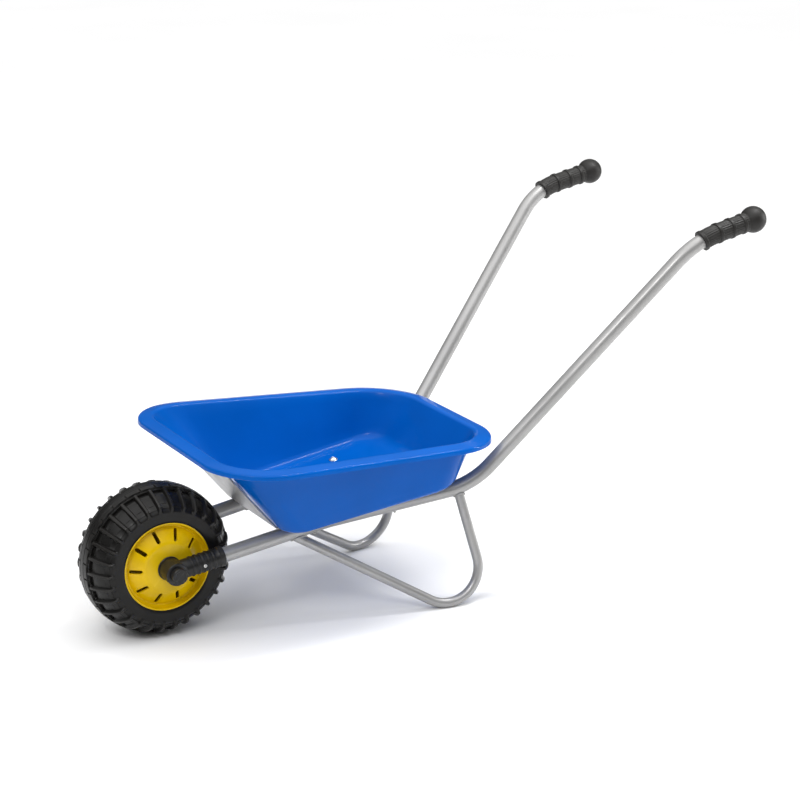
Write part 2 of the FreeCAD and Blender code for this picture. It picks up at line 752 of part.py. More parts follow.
def sheet_between(start, end, width, sheet, normal):
    """A flat sheet across the barrow from one section point to another."""
    first = Vector(start.x, -width, start.z)
    second = Vector(end.x, -width, end.z)
    corners = [first, second, second + normal * sheet, first + normal * sheet, first]
    return Part.Face(Part.makePolygon(corners)).extrude(Vector(0, 2 * width, 0))


def make_front_plate():
    """Bent sheet on top of both tubes that also backs the lower front wall of the tray."""
    below = floor_normal() * -1
    foot_at = FLOOR_FRONT + PLATE_FOOT
    foot_end = Vector(foot_at + AXLE_X, 0, floor_z(foot_at)) + below * FIT_GAP
    low, high = front_wall_line()
    slope = unit(high - low)
    outwards = unit(Vector(-slope.z, 0, slope.x))
    low = low + outwards * FIT_GAP
    top = low + slope * ((PLATE_TOP_Z - low.z) / slope.z)
    base = low + slope * ((foot_end - low).dot(below) / slope.dot(below))
    wall_sheet = sheet_between(base, top, PLATE_HALF, PLATE_SHEET, outwards)
    foot_sheet = sheet_between(base, foot_end, PLATE_HALF, PLATE_SHEET, below)
    knuckle = rod(PLATE_SHEET, Vector(base.x, -PLATE_HALF, base.z), ACROSS, 2 * PLATE_HALF)
    above_corner = Part.makeBox(
        2 * PLATE_FOOT, 2 * PLATE_HALF, 2 * PLATE_FOOT, Vector(base.x, -PLATE_HALF, base.z)
    )
    above_corner.rotate(base, ACROSS, -math.degrees(math.atan(FLOOR_SLOPE)))
    plate = wall_sheet.multiFuse([foot_sheet, knuckle]).cut(above_corner)
    holes = screw_holes()
    right, left = frame_bars()
    return plate.cut(right).cut(left).cut(holes).cut(mirrored(holes))


def make_rear_strap():
    half = tube_y_at(SCREW_REAR_AT) + STRAP_OVERHANG
    start_at = SCREW_REAR_AT - STRAP_WIDTH / 2
    end_at = SCREW_REAR_AT + STRAP_WIDTH / 2
    start = Vector(start_at + AXLE_X, 0, floor_z(start_at))
    end = Vector(end_at + AXLE_X, 0, floor_z(end_at))
    strap = sheet_between(start, end, half, PLATE_SHEET, floor_normal() * -1)
    holes = screw_holes()
    right, left = frame_bars()
    return strap.cut(right).cut(left).cut(holes).cut(mirrored(holes))


def make_screws():
    """Four domed screws that hold the tray to the tubes."""
    up = floor_normal()
    screws = []
    for seat in screw_seats():
        under_head = seat + up * WASHER_SHEET
        shank = rod(SCREW_RADIUS, under_head, up * -1, screw_length())
        ball_radius = (SCREW_HEAD_RADIUS ** 2 + SCREW_HEAD_HEIGHT ** 2) / (2 * SCREW_HEAD_HEIGHT)
        ball = Part.makeSphere(ball_radius, under_head + up * (SCREW_HEAD_HEIGHT - ball_radius))
        head = rod(SCREW_HEAD_RADIUS, under_head, up, ball_radius).common(ball)
        screw = head.fuse(shank)
        screws += [screw, mirrored(screw)]
    return Part.makeCompound(screws)


def make_washers():
    up = floor_normal()
    washers = []
    for seat in screw_seats():
        ring = rod(WASHER_RADIUS, seat, up, WASHER_SHEET).cut(rod(SCREW_HOLE, seat, up, WASHER_SHEET))
        washers += [ring, mirrored(ring)]
    return Part.makeCompound(washers)


# ---------------------------------------------------------------- all parts

def single(shape):
    """The one solid of a boolean result, or the shape itself when it is a group."""
    return shape.Solids[0] if len(shape.Solids) == 1 else shape


def main():
    os.makedirs("parts", exist_ok=True)
    rights = {
        "frame_tube": make_frame_tube(),
        "leg": make_leg(),
        "grip": make_grip(),
        "fork_sleeve": make_sleeve(),
        "sleeve_screw": make_sleeve_screw(),
        "hub_spacer": make_spacer(),
        "axle_cap": make_cap(),
        "rim_half": make_rim_half(),
        "hub_bush": make_bush(),
    }
    nodes = {
        "tray": make_tray(),
        "front_plate": make_front_plate(),
        "rear_strap": make_rear_strap(),
        "tray_screws": make_screws(),
        "tray_washers": make_washers(),
        "axle": make_axle(),
        "tyre": make_tyre(),
        "hub_tube": make_hub_tube(),
    }
    for name, shape in rights.items():
        nodes[name + "_right"] = shape
        nodes[name + "_left"] = mirrored(shape)
    for name, shape in sorted(nodes.items()):
        piece = single(shape)
        piece.exportStep("parts/" + name + ".step")
        print(name, "solids:", len(piece.Solids), "valid:", piece.isValid())


main()
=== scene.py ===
import bpy
import math
from mathutils import Matrix, Vector


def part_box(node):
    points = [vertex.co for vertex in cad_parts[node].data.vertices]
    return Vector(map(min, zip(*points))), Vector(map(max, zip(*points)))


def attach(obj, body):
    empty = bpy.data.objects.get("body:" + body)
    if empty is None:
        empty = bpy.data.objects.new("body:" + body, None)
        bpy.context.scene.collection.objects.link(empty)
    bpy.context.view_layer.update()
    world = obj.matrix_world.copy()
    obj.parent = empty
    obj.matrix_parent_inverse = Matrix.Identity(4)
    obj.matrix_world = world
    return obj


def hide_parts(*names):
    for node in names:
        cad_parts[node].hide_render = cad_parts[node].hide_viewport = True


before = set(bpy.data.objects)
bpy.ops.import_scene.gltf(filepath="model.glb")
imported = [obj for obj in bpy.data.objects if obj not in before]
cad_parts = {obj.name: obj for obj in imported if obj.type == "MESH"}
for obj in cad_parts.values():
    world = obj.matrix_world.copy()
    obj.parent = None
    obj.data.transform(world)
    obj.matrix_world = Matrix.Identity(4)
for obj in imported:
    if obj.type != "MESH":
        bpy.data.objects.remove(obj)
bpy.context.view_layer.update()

# Sizes are in millimetres and become metres when a mesh is made.
# +X points back towards the handles, left is -Y, and the origin is on the floor in the middle.
MM = 0.001
axle_low, axle_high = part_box("axle")
AXLE = (axle_low + axle_high) / 2 / MM
WHEEL_CENTRE = Vector((AXLE.x, 0, AXLE.z))
RIGHT = 1
LEFT = -1
SIDES = {"right": RIGHT, "left": LEFT}


# ---------------------------------------------------------------- mesh helpers

def mesh_object(name, verts, faces, material, smooth_angle=32.0):
    """A smooth-shaded mesh from points in millimetres, with outward normals."""
    mesh = bpy.data.meshes.new(name)
    mesh.from_pydata([Vector(v) * MM for v in verts], [], faces)
    mesh.validate()
    obj = bpy.data.objects.new(name, mesh)
    bpy.context.scene.collection.objects.link(obj)
    bpy.context.view_layer.objects.active = obj
    obj.select_set(True)
    bpy.ops.object.mode_set(mode="EDIT")
    bpy.ops.mesh.select_all(action="SELECT")
    bpy.ops.mesh.normals_make_consistent(inside=False)
    bpy.ops.object.mode_set(mode="OBJECT")
    obj.select_set(False)
    mesh.shade_smooth()
    mesh.set_sharp_from_angle(angle=math.radians(smooth_angle))
    mesh.materials.append(material)
    return obj


def add_part(obj, body, slot, *nodes):
    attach(obj, body)
    if nodes:
        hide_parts(*nodes)
    return obj


def grid_faces(rows, columns, close_rows=False):
    """Quads between rows of points, each row running round the piece."""
    faces = []
    for row in range(rows if close_rows else rows - 1):
        below = row * columns
        above = ((row + 1) % rows) * columns
        for column in range(columns):
            after = (column + 1) % columns
            faces.append((below + column, below + after, above + after, above + column))
    return faces


def merged(*pieces):
    """Several (verts, faces) meshes as one."""
    verts, faces = [], []
    for piece_verts, piece_faces in pieces:
        start = len(verts)
        verts += piece_verts
        faces += [tuple(index + start for index in face) for face in piece_faces]
    return verts, faces


def lathe(profile, origin, axis, segments=64, closed=False):
    """Turn (distance along axis, radius) points about an axis. Open ends are capped."""
    axis = Vector(axis).normalized()
    turn = Vector((0, 0, 1)).rotation_difference(axis)
    verts = []
    for along, radius in profile:
        for step in range(segments):
            angle = 2 * math.pi * step / segments
            local = Vector((radius * math.cos(angle), radius * math.sin(angle), along))
            verts.append(Vector(origin) + turn @ local)
    faces = grid_faces(len(profile), segments, close_rows=closed)
    if not closed:
        faces.append(tuple(range(segments)))
        last = (len(profile) - 1) * segments
        faces.append(tuple(range(last, last + segments)))
    return verts, faces


def bent_path(points, radii, arc_steps=18):
    """Straight runs joined by arcs of the given radii at the inner points."""
    points = [Vector(p) for p in points]
    path = [points[0]]
    for index in range(1, len(points) - 1):
        corner = points[index]
        back = (points[index - 1] - corner).normalized()
        ahead = (points[index + 1] - corner).normalized()
        half = back.angle(ahead) / 2
        radius = radii[index - 1]
        centre = corner + (back + ahead).normalized() * (radius / math.sin(half))
        start = corner + back * (radius / math.tan(half)) - centre
        end = corner + ahead * (radius / math.tan(half)) - centre
        total = start.angle(end)
        normal = start.cross(end).normalized()
        for step in range(arc_steps + 1):
            path.append(centre + Matrix.Rotation(total * step / arc_steps, 3, normal) @ start)
    path.append(points[-1])
    return path


def path_length(path):
    return sum((b - a).length for a, b in zip(path[:-1], path[1:]))


def point_at(path, distance):
    """Point and direction at a distance along a path."""
    left = distance
    for a, b in zip(path[:-1], path[1:]):
        step = (b - a).length
        if left <= step:
            return a + (b - a) * (left / step), (b - a).normalized()
        left -= step
    return path[-1] + (path[-1] - path[-2]).normalized() * left, (path[-1] - path[-2]).normalized()


def sweep(stations, segments=40, capped=True):
    """Rings round a path. A station is (point, direction, radius or radius by angle)."""
    verts = []
    reference = Vector((0, 1, 0))
    for point, direction, radius in stations:
        reference = (reference - direction * reference.dot(direction)).normalized()
        other = direction.cross(reference)
        for step in range(segments):
            angle = 2 * math.pi * step / segments
            reach = radius(angle) if callable(radius) else radius
            verts.append(point + (reference * math.cos(angle) + other * math.sin(angle)) * reach)
    faces = grid_faces(len(stations), segments)
    if capped:
        faces.append(tuple(range(segments)))
        last = (len(stations) - 1) * segments
        faces.append(tuple(range(last, last + segments)))
    return verts, faces


def tube_mesh(path, radius, segments=40):
    stations = []
    for index, point in enumerate(path):
        before = path[max(index - 1, 0)]
        after = path[min(index + 1, len(path) - 1)]
        stations.append((point, (after - before).normalized(), radius))
    return sweep(stations, segments)


def smooth_step(value):
    value = min(max(value, 0.0), 1.0)
    return value * value * (3 - 2 * value)


def behind(x, y, z):
    """A point given by its distance behind the axle."""
    return Vector((x + AXLE.x, y, z))


def on_side(points, side):
    """Points given behind the axle and for the right side, put on either side."""
    return [behind(x, side * y, z) for x, y, z in points]


# ---------------------------------------------------------------- materials

def new_material(name, colour, roughness, metallic=0.0, specular=0.3):
    material = bpy.data.materials.new(name)
    material.use_nodes = True
    material.diffuse_color = (*colour, 1)
    shader = material.node_tree.nodes["Principled BSDF"]
    shader.inputs["Base Color"].default_value = (*colour, 1)
    shader.inputs["Roughness"].default_value = roughness
    shader.inputs["Metallic"].default_value = metallic
    shader.inputs["Specular IOR Level"].default_value = specular
    return material, material.node_tree, shader


def noise(tree, scale, detail=3.0, stretch=(1, 1, 1)):
    """Noise over the object's own coordinates. Scale is per metre."""
    place = tree.nodes.new("ShaderNodeTexCoord")
    mapping = tree.nodes.new("ShaderNodeMapping")
    mapping.inputs["Scale"].default_value = stretch
    texture = tree.nodes.new("ShaderNodeTexNoise")
    texture.inputs["Scale"].default_value = scale
    texture.inputs["Detail"].default_value = detail
    tree.links.new(place.outputs["Object"], mapping.inputs["Vector"])
    tree.links.new(mapping.outputs["Vector"], texture.inputs["Vector"])
    return texture.outputs["Fac"]


def map_range(tree, value, from_low, from_high, to_low, to_high):
    node = tree.nodes.new("ShaderNodeMapRange")
    node.inputs["From Min"].default_value = from_low
    node.inputs["From Max"].default_value = from_high
    node.inputs["To Min"].default_value = to_low
    node.inputs["To Max"].default_value = to_high
    tree.links.new(value, node.inputs["Value"])
    return node.outputs["Result"]


def mix_colour(tree, factor, first, second):
    node = tree.nodes.new("ShaderNodeMix")
    node.data_type = "RGBA"
    tree.links.new(factor, node.inputs["Factor"])
    for socket, value in ((node.inputs[6], first), (node.inputs[7], second)):
        if isinstance(value, tuple):
            socket.default_value = (*value, 1)
        else:
            tree.links.new(value, socket)
    return node.outputs[2]


def bump(tree, shader, layers):
    """Chain of bumps. A layer is (height, distance in metres, strength)."""
    normal = None
    for height, distance, strength in layers:
        node = tree.nodes.new("ShaderNodeBump")
        node.inputs["Distance"].default_value = distance
        node.inputs["Strength"].default_value = strength
        tree.links.new(height, node.inputs["Height"])
        if normal:
            tree.links.new(normal, node.inputs["Normal"])
        normal = node.outputs["Normal"]
    tree.links.new(normal, shader.inputs["Normal"])


def scaled(colour, share):
    return tuple(min(c * share, 1) for c in colour)


def edge_mask(tree, low, high):
    """0 on flat areas and 1 on convex edges."""
    geometry = tree.nodes.new("ShaderNodeNewGeometry")
    return map_range(tree, geometry.outputs["Pointiness"], low, high, 0.0, 1.0)


def painted(name, colour, worn, roughness, metallic, peel, specular=0.3):
    """Sprayed or powder-coated paint: slight shade drift, orange peel and rubbed edges."""
    material, tree, shader = new_material(name, colour, roughness, metallic, specular)
    drift = map_range(tree, noise(tree, 9.0), 0.35, 0.65, 0.0, 1.0)
    shade = mix_colour(tree, drift, scaled(colour, 0.93), scaled(colour, 1.07))
    specks = map_range(tree, noise(tree, 900.0, 2.0), 0.62, 0.75, 0.0, 0.35)
    shade = mix_colour(tree, specks, shade, tuple(min(c * 1.2 + 0.01, 1) for c in colour))
    edges = edge_mask(tree, 0.53, 0.60)
    broken = tree.nodes.new("ShaderNodeMath")
    broken.operation = "MULTIPLY"
    tree.links.new(edges, broken.inputs[0])
    tree.links.new(map_range(tree, noise(tree, 140.0), 0.45, 0.6, 0.0, 0.5), broken.inputs[1])
    shade = mix_colour(tree, broken.outputs["Value"], shade, worn)
    tree.links.new(shade, shader.inputs["Base Color"])
    gloss = map_range(tree, noise(tree, 38.0, 4.0), 0.3, 0.7, roughness * 0.85, roughness * 1.2)
    tree.links.new(gloss, shader.inputs["Roughness"])
    bump(tree, shader, [
        (noise(tree, 420.0, 2.0), 0.00012, peel),
        (noise(tree, 14.0, 2.0), 0.0012, peel * 0.5),
    ])
    return material


def moulded(name, colour, dusty, roughness, grain, fine=1400.0, specular=0.3):
    """Moulded plastic or rubber: fine grain, uneven gloss and dust on the edges."""
    material, tree, shader = new_material(name, colour, roughness, 0.0, specular)
    drift = map_range(tree, noise(tree, 26.0, 4.0), 0.3, 0.7, 0.0, 1.0)
    shade = mix_colour(tree, drift, scaled(colour, 0.85), scaled(colour, 1.12))
    edges = edge_mask(tree, 0.51, 0.58)
    shade = mix_colour(tree, map_range(tree, edges, 0.0, 1.0, 0.0, 0.35), shade, dusty)
    tree.links.new(shade, shader.inputs["Base Color"])
    gloss = map_range(tree, noise(tree, 60.0, 4.0), 0.3, 0.7, roughness * 0.82, min(roughness * 1.2, 1))
    tree.links.new(gloss, shader.inputs["Roughness"])
    bump(tree, shader, [
        (noise(tree, fine, 2.0), 0.00010, grain),
        (noise(tree, 55.0, 2.0), 0.0004, grain * 0.6),
    ])
    return material


def plated(name, colour, roughness):
    """Zinc-plated or drawn steel: fine turning marks and blotchy gloss."""
    material, tree, shader = new_material(name, colour, roughness, 1.0)
    blotch = map_range(tree, noise(tree, 320.0, 4.0), 0.3, 0.7, 0.0, 1.0)
    shade = mix_colour(tree, blotch, scaled(colour, 0.82), colour)
    tree.links.new(shade, shader.inputs["Base Color"])
    gloss = map_range(tree, noise(tree, 500.0, 3.0), 0.3, 0.7, roughness * 0.75, roughness * 1.35)
    tree.links.new(gloss, shader.inputs["Roughness"])
    bump(tree, shader, [(noise(tree, 900.0, 2.0, (1, 6, 1)), 0.00006, 0.4)])
    return material


BLUE_PAINT = painted(
    "blue_powder_coat", (0.0, 0.088, 0.41), worn=(0.0, 0.12, 0.50),
    roughness=0.12, metallic=0.0, peel=0.03, specular=0.10,
)
SILVER_PAINT = painted(
    "silver_paint", (0.34, 0.337, 0.333), worn=(0.50, 0.50, 0.50),
    roughness=0.33, metallic=0.45, peel=0.10,
)
YELLOW_PLASTIC = moulded(
    "yellow_plastic", (0.66, 0.43, 0.0), dusty=(0.74, 0.52, 0.02),
    roughness=0.22, grain=0.05, fine=900.0, specular=0.22,
)
TYRE_RUBBER = moulded(
    "tyre_rubber", (0.0062, 0.0058, 0.0054), dusty=(0.050, 0.047, 0.044),
    roughness=0.33, grain=0.22, specular=0.22,
)
BLACK_PLASTIC = moulded(
    "black_plastic", (0.010, 0.010, 0.010), dusty=(0.045, 0.045, 0.045), roughness=0.36, grain=0.25,
)
BUSH_PLASTIC = moulded(
    "bush_plastic", (0.030, 0.030, 0.030), dusty=(0.07, 0.07, 0.07), roughness=0.45, grain=0.25,
)
GRIP_RUBBER = moulded(
    "grip_rubber", (0.013, 0.012, 0.011), dusty=(0.045, 0.043, 0.040),
    roughness=0.48, grain=0.50, fine=1900.0,
)
ZINC = plated("zinc_plate", (0.70, 0.70, 0.68), 0.30)
DRAWN_STEEL = plated("drawn_steel", (0.56, 0.56, 0.56), 0.34)
WELD_METAL = painted(
    "painted_weld", (0.32, 0.317, 0.313), worn=(0.48, 0.48, 0.48),
    roughness=0.42, metallic=0.45, peel=0.45,
)


# ---------------------------------------------------------------- tray

SHEET = 1.5
FLOOR = {"front": 144.6, "rear": 393.5, "halves": (112.0, 126.0), "corners": (28.0, 42.0)}
RIM = {"front": 29.2, "rear": 451.0, "halves": (183.8, 156.4), "corners": (84.0, 92.0)}
FLOOR_SLOPE = 0.1333
FLOOR_Z_AT_FRONT = 133.8
RIM_SLOPE = -0.051
RIM_Z_FROM = 300.0
RIM_Z_THERE = 235.8
FILLET_HEIGHT = 9.0
WALL_ANGLES = (50.0, 68.0, 58.0)
FLANGE_WIDTH = 17.0
FLANGE_CREST_RADIUS = 6.0
FLANGE_EDGE_RADIUS = 4.0
FLANGE_TILT = math.radians(9.0)
FLANGE_WALL = math.radians(62.0)
LIP_ANGLE = math.radians(84.0)
LIP_DROP = 7.0
LIP_FLARE = 0.4
CORNER_STEPS = 22
EDGE_STEPS = 14
BEND_STEPS = 9
WALL_STEPS = 6
FLOOR_RING_SHARES = (0.02, 0.4, 0.8, 0.97)
LIP_FOLD_DROP = 0.35


def floor_z(x, lift=0.0):
    return FLOOR_Z_AT_FRONT + FLOOR_SLOPE * (x - FLOOR["front"]) + lift


FLOOR_NORMAL = Vector((-FLOOR_SLOPE, 0, 1)).normalized()


def outline(front, rear, halves, corners, slope, z_at_front):
    """Points round a rounded outline with tapering sides, in a plane that slopes along X."""
    tilt = math.atan(slope)
    length = (rear - front) / math.cos(tilt)
    posts = [
        Vector((0, -halves[0])),
        Vector((length, -halves[1])),
        Vector((length, halves[1])),
        Vector((0, halves[0])),
    ]
    radii = (corners[0], corners[1], corners[1], corners[0])
    arcs = []
    for index in range(4):
        post = posts[index]
        back = (posts[index - 1] - post).normalized()
        ahead = (posts[(index + 1) % 4] - post).normalized()
        half = back.angle(ahead) / 2
        centre = post + (back + ahead).normalized() * (radii[index] / math.sin(half))
        reach = radii[index] / math.tan(half)
        first = post + back * reach - centre
        last = post + ahead * reach - centre
        start = math.atan2(first.y, first.x)
        turn = (math.atan2(last.y, last.x) - start + math.pi) % (2 * math.pi) - math.pi
        arc = []
        for step in range(CORNER_STEPS + 1):
            angle = start + turn * step / CORNER_STEPS
            arc.append(centre + Vector((math.cos(angle), math.sin(angle))) * radii[index])
        arcs.append(arc)
    flat = []
    for index in range(4):
        flat += arcs[index]
        leave, entry = arcs[index][-1], arcs[(index + 1) % 4][0]
        flat += [leave.lerp(entry, step / EDGE_STEPS) for step in range(1, EDGE_STEPS)]
    return [
        behind(front + p.x * math.cos(tilt), p.y, z_at_front + p.x * math.sin(tilt)) for p in flat
    ]


def bend_inset(angle, bend_height, height):
    """How far the skin stands out from the floor outline, at a height in the bend to the wall."""
    radius = bend_height / (1 - math.cos(angle))
    return radius * math.sin(math.acos(1 - height / radius)) - radius * math.tan(angle / 2)


def floor_rings(skin):
    """Rings up the bend between floor and walls. skin is 0 outside and SHEET inside."""
    bend_height = FILLET_HEIGHT - skin / 2
    angles = [math.radians(angle) for angle in WALL_ANGLES]
    side_radius = bend_height / (1 - math.cos(angles[1]))
    rings = []
    for step in range(BEND_STEPS):
        height = side_radius * (1 - math.cos(angles[1] * step / (BEND_STEPS - 1)))
        front, side, rear = [
            bend_inset(angle, bend_height, height) - skin * math.tan(angle / 2) for angle in angles
        ]
        start = FLOOR["front"] - front
        rings.append(outline(
            start, FLOOR["rear"] + rear, [half + side for half in FLOOR["halves"]],
            [corner + side for corner in FLOOR["corners"]], FLOOR_SLOPE, floor_z(start, skin + height),
        ))
    return rings


def rim_ring(inset, height):
    front = RIM["front"] + inset
    return outline(
        front, RIM["rear"] - inset, [half - inset for half in RIM["halves"]],
        [corner - inset for corner in RIM["corners"]], RIM_SLOPE,
        RIM_Z_THERE + RIM_SLOPE * (front - RIM_Z_FROM) + height,
    )


def flange_top():
    """Height over the rim plane of the flange's upper face, above the centre of its crest."""
    top = (FLANGE_WIDTH - FLANGE_EDGE_RADIUS) * math.tan(FLANGE_TILT)
    return top + (FLANGE_EDGE_RADIUS / math.cos(FLANGE_TILT) - FLANGE_EDGE_RADIUS)


def rim_rings(skin):
    """Rings over the flange, from the wall to the foot of the lip."""
    crest = FLANGE_CREST_RADIUS + skin
    edge = FLANGE_EDGE_RADIUS - SHEET + skin
    crest_centre = flange_top() - (FLANGE_CREST_RADIUS + SHEET) / math.cos(FLANGE_TILT)
    section = []
    for step in range(BEND_STEPS):
        turn = FLANGE_WALL - (FLANGE_TILT + FLANGE_WALL) * step / (BEND_STEPS - 1)
        section.append((FLANGE_WIDTH + crest * math.sin(turn), crest_centre + crest * math.cos(turn)))
    for step in range(BEND_STEPS):
        turn = FLANGE_TILT + (LIP_ANGLE - FLANGE_TILT) * step / (BEND_STEPS - 1)
        height = edge * math.cos(turn) - FLANGE_EDGE_RADIUS
        section.append((FLANGE_EDGE_RADIUS - edge * math.sin(turn), height))
    section.append((FLANGE_EDGE_RADIUS - edge * math.sin(LIP_ANGLE) - LIP_FLARE, -LIP_DROP))
    return [rim_ring(inset, height) for inset, height in section]


def between_rings(first, last, steps):
    return [[a.lerp(b, step / steps) for a, b in zip(first, last)] for step in range(1, steps)]


def make_tray():
    """The pressed tray as one closed sheet, inner skin then outer skin."""
    skins = []
    for skin in (SHEET, 0.0):
        bend, flange = floor_rings(skin), rim_rings(skin)
        centre = sum(bend[0], Vector()) / len(bend[0])
        middle = [[centre.lerp(p, share) for p in bend[0]] for share in FLOOR_RING_SHARES]
        skins.append(middle + bend + between_rings(bend[-1], flange[0], WALL_STEPS) + flange)
    inner, outer = skins
    drop = Vector((0, 0, -LIP_FOLD_DROP))
    fold = [[a.lerp(b, 0.5) + drop for a, b in zip(inner[-1], outer[-1])]]
    rings = inner + fold + outer[::-1]
    verts = [p for ring in rings for p in ring]
    count = len(rings[0])
    faces = grid_faces(len(rings), count)
    last = (len(rings) - 1) * count
    faces += [tuple(range(count)), tuple(range(last, last + count))]
    tray = mesh_object("tray_pan", verts, faces, BLUE_PAINT, 50.0)
    add_part(tray, "frame", "tray_paint", "tray")


make_tray()


# ---------------------------------------------------------------- frame tubes

TUBE_RADIUS = 10.0
TUBE_POINTS = [
    (0.0, 64.5, 100.0),
    (215.8, 69.3, 132.7),
    (416.9, 103.0, 158.7),
    (701.9, 195.5, 476.7),
    (796.1, 194.6, 496.2),
]
TUBE_BENDS = [120.0, 100.0, 109.0]
FORK_OVERRUN = 9.0
TUBE_END_INSIDE_BALL = 6.0


def tube_path(side):
    points = on_side(TUBE_POINTS, side)
    points[0] -= (points[1] - points[0]).normalized() * FORK_OVERRUN
    points[-1] -= (points[-1] - points[-2]).normalized() * TUBE_END_INSIDE_BALL
    return points


def make_frame_tube(side, tag):
    path = bent_path(tube_path(side), TUBE_BENDS, 40)
    verts, faces = tube_mesh(path, TUBE_RADIUS, 56)
    tube = mesh_object("frame_tube_skin_" + tag, verts, faces, SILVER_PAINT)
    add_part(tube, "frame", "frame_paint", "frame_tube_" + tag)


for tag, side in SIDES.items():
    make_frame_tube(side, tag)


# ---------------------------------------------------------------- legs

LEG_RADIUS = 6.5
LEG_POINTS = [(160.0, 66.0, 124.8), (434.4, 145.9, -41.7), (395.8, 99.6, 157.2)]
LEG_BEND = 46.5


def make_leg(side, tag):
    points = on_side(LEG_POINTS, side)
    path = bent_path(points, [LEG_BEND], 48)
    verts, faces = tube_mesh(path, LEG_RADIUS, 48)
    leg = mesh_object("leg_skin_" + tag, verts, faces, SILVER_PAINT)
    add_part(leg, "frame", "frame_paint", "leg_" + tag)


for tag, side in SIDES.items():
    make_leg(side, tag)


# ---------------------------------------------------------------- welds

WELD_RADIUS = 1.5
WELD_SEGMENTS = 12
WELD_LIFT_LEG = 0.4
WELD_LIFT_TUBE = 0.2
SADDLE_START = 40.0


def weld_bead(name, points, radius, seed):
    """A closed lumpy bead through the given points."""
    count = len(points)
    stations = []
    for index, point in enumerate(points):
        direction = (points[(index + 1) % count] - points[index - 1]).normalized()
        lump = 1.0 + 0.16 * math.sin(index * 1.9 + seed) + 0.10 * math.sin(index * 0.7 + 2 * seed)
        stations.append((point, direction, radius * lump))
    verts, faces = sweep(stations, WELD_SEGMENTS, capped=False)
    last = (count - 1) * WELD_SEGMENTS
    for first in range(WELD_SEGMENTS):
        second = (first + 1) % WELD_SEGMENTS
        faces.append((last + first, last + second, second, first))
    bead = mesh_object(name, verts, faces, WELD_METAL, 60.0)
    add_part(bead, "frame", "frame_paint")


def saddle(foot, direction, radius, tube_point, tube_direction, tube_radius, count=60):
    """Where a round bar meets the side of a tube. direction points along the bar to the tube."""
    across = direction.cross(tube_direction).normalized()
    other = direction.cross(across)
    points = []
    for index in range(count):
        angle = 2 * math.pi * index / count
        start = foot + (across * math.cos(angle) + other * math.sin(angle)) * radius
        offset = start - tube_point
        a = direction - tube_direction * direction.dot(tube_direction)
        b = offset - tube_direction * offset.dot(tube_direction)
        half = a.dot(b)
        root = half * half - a.dot(a) * (b.dot(b) - tube_radius ** 2)
        share = (-half - math.sqrt(max(root, 0.0))) / a.dot(a)
        points.append(start + direction * share)
    return points


def weld_leg(side, tag):
    leg = on_side(LEG_POINTS, side)
    tube = on_side(TUBE_POINTS, side)
    joints = (
        ("front", leg[1], leg[0], tube[0], tube[1]),
        ("rear", leg[1], leg[2], tube[1], tube[2]),
    )
    for seed, (end, start, finish, first, second) in enumerate(joints):
        direction = (finish - start).normalized()
        foot = finish - direction * SADDLE_START
        points = saddle(
            foot, direction, LEG_RADIUS + WELD_LIFT_LEG,
            first, (second - first).normalized(), TUBE_RADIUS + WELD_LIFT_TUBE,
        )
        weld_bead("leg_weld_" + end + "_" + tag, points, WELD_RADIUS, seed + side)


for tag, side in SIDES.items():
    weld_leg(side, tag)


# ---------------------------------------------------------------- plate and tray screws

PLATE_HALF = 71.0
PLATE_FOOT = 64.0
PLATE_TOP_Z = 226.0
PLATE_SHEET = 1.5
PLATE_BEND = 7.0
PLATE_BEND_STEPS = 8
PLATE_MID_RUN = 40.0
PLATE_EDGE = 0.35
FIT_GAP = 0.05


def plate_line():
    """Foot, bend and top of the plate's tray-side face, where it crosses the plane Y = 0."""
    angle = math.radians(WALL_ANGLES[0])
    low_at = FLOOR["front"] - bend_inset(angle, FILLET_HEIGHT, FILLET_HEIGHT)
    low = behind(low_at, 0, floor_z(low_at, FILLET_HEIGHT))
    high_at = RIM["front"] + FLANGE_WIDTH + FLANGE_CREST_RADIUS * math.sin(FLANGE_WALL)
    high_z = RIM_Z_THERE + RIM_SLOPE * (high_at - RIM_Z_FROM) + flange_top()
    high_z += FLANGE_CREST_RADIUS * math.cos(FLANGE_WALL)
    high_z -= (FLANGE_CREST_RADIUS + SHEET) / math.cos(FLANGE_TILT)
    high = behind(high_at, 0, high_z)
    slope = (high - low).normalized()
    outwards = Vector((-slope.z, 0, slope.x))
    low = low + outwards * FIT_GAP
    foot_at = FLOOR["front"] + PLATE_FOOT
    foot = behind(foot_at, 0, floor_z(foot_at)) - FLOOR_NORMAL * FIT_GAP
    base = low + slope * ((foot - low).dot(FLOOR_NORMAL) / slope.dot(FLOOR_NORMAL))
    top = low + slope * ((PLATE_TOP_Z - low.z) / slope.z)
    return foot, base, top


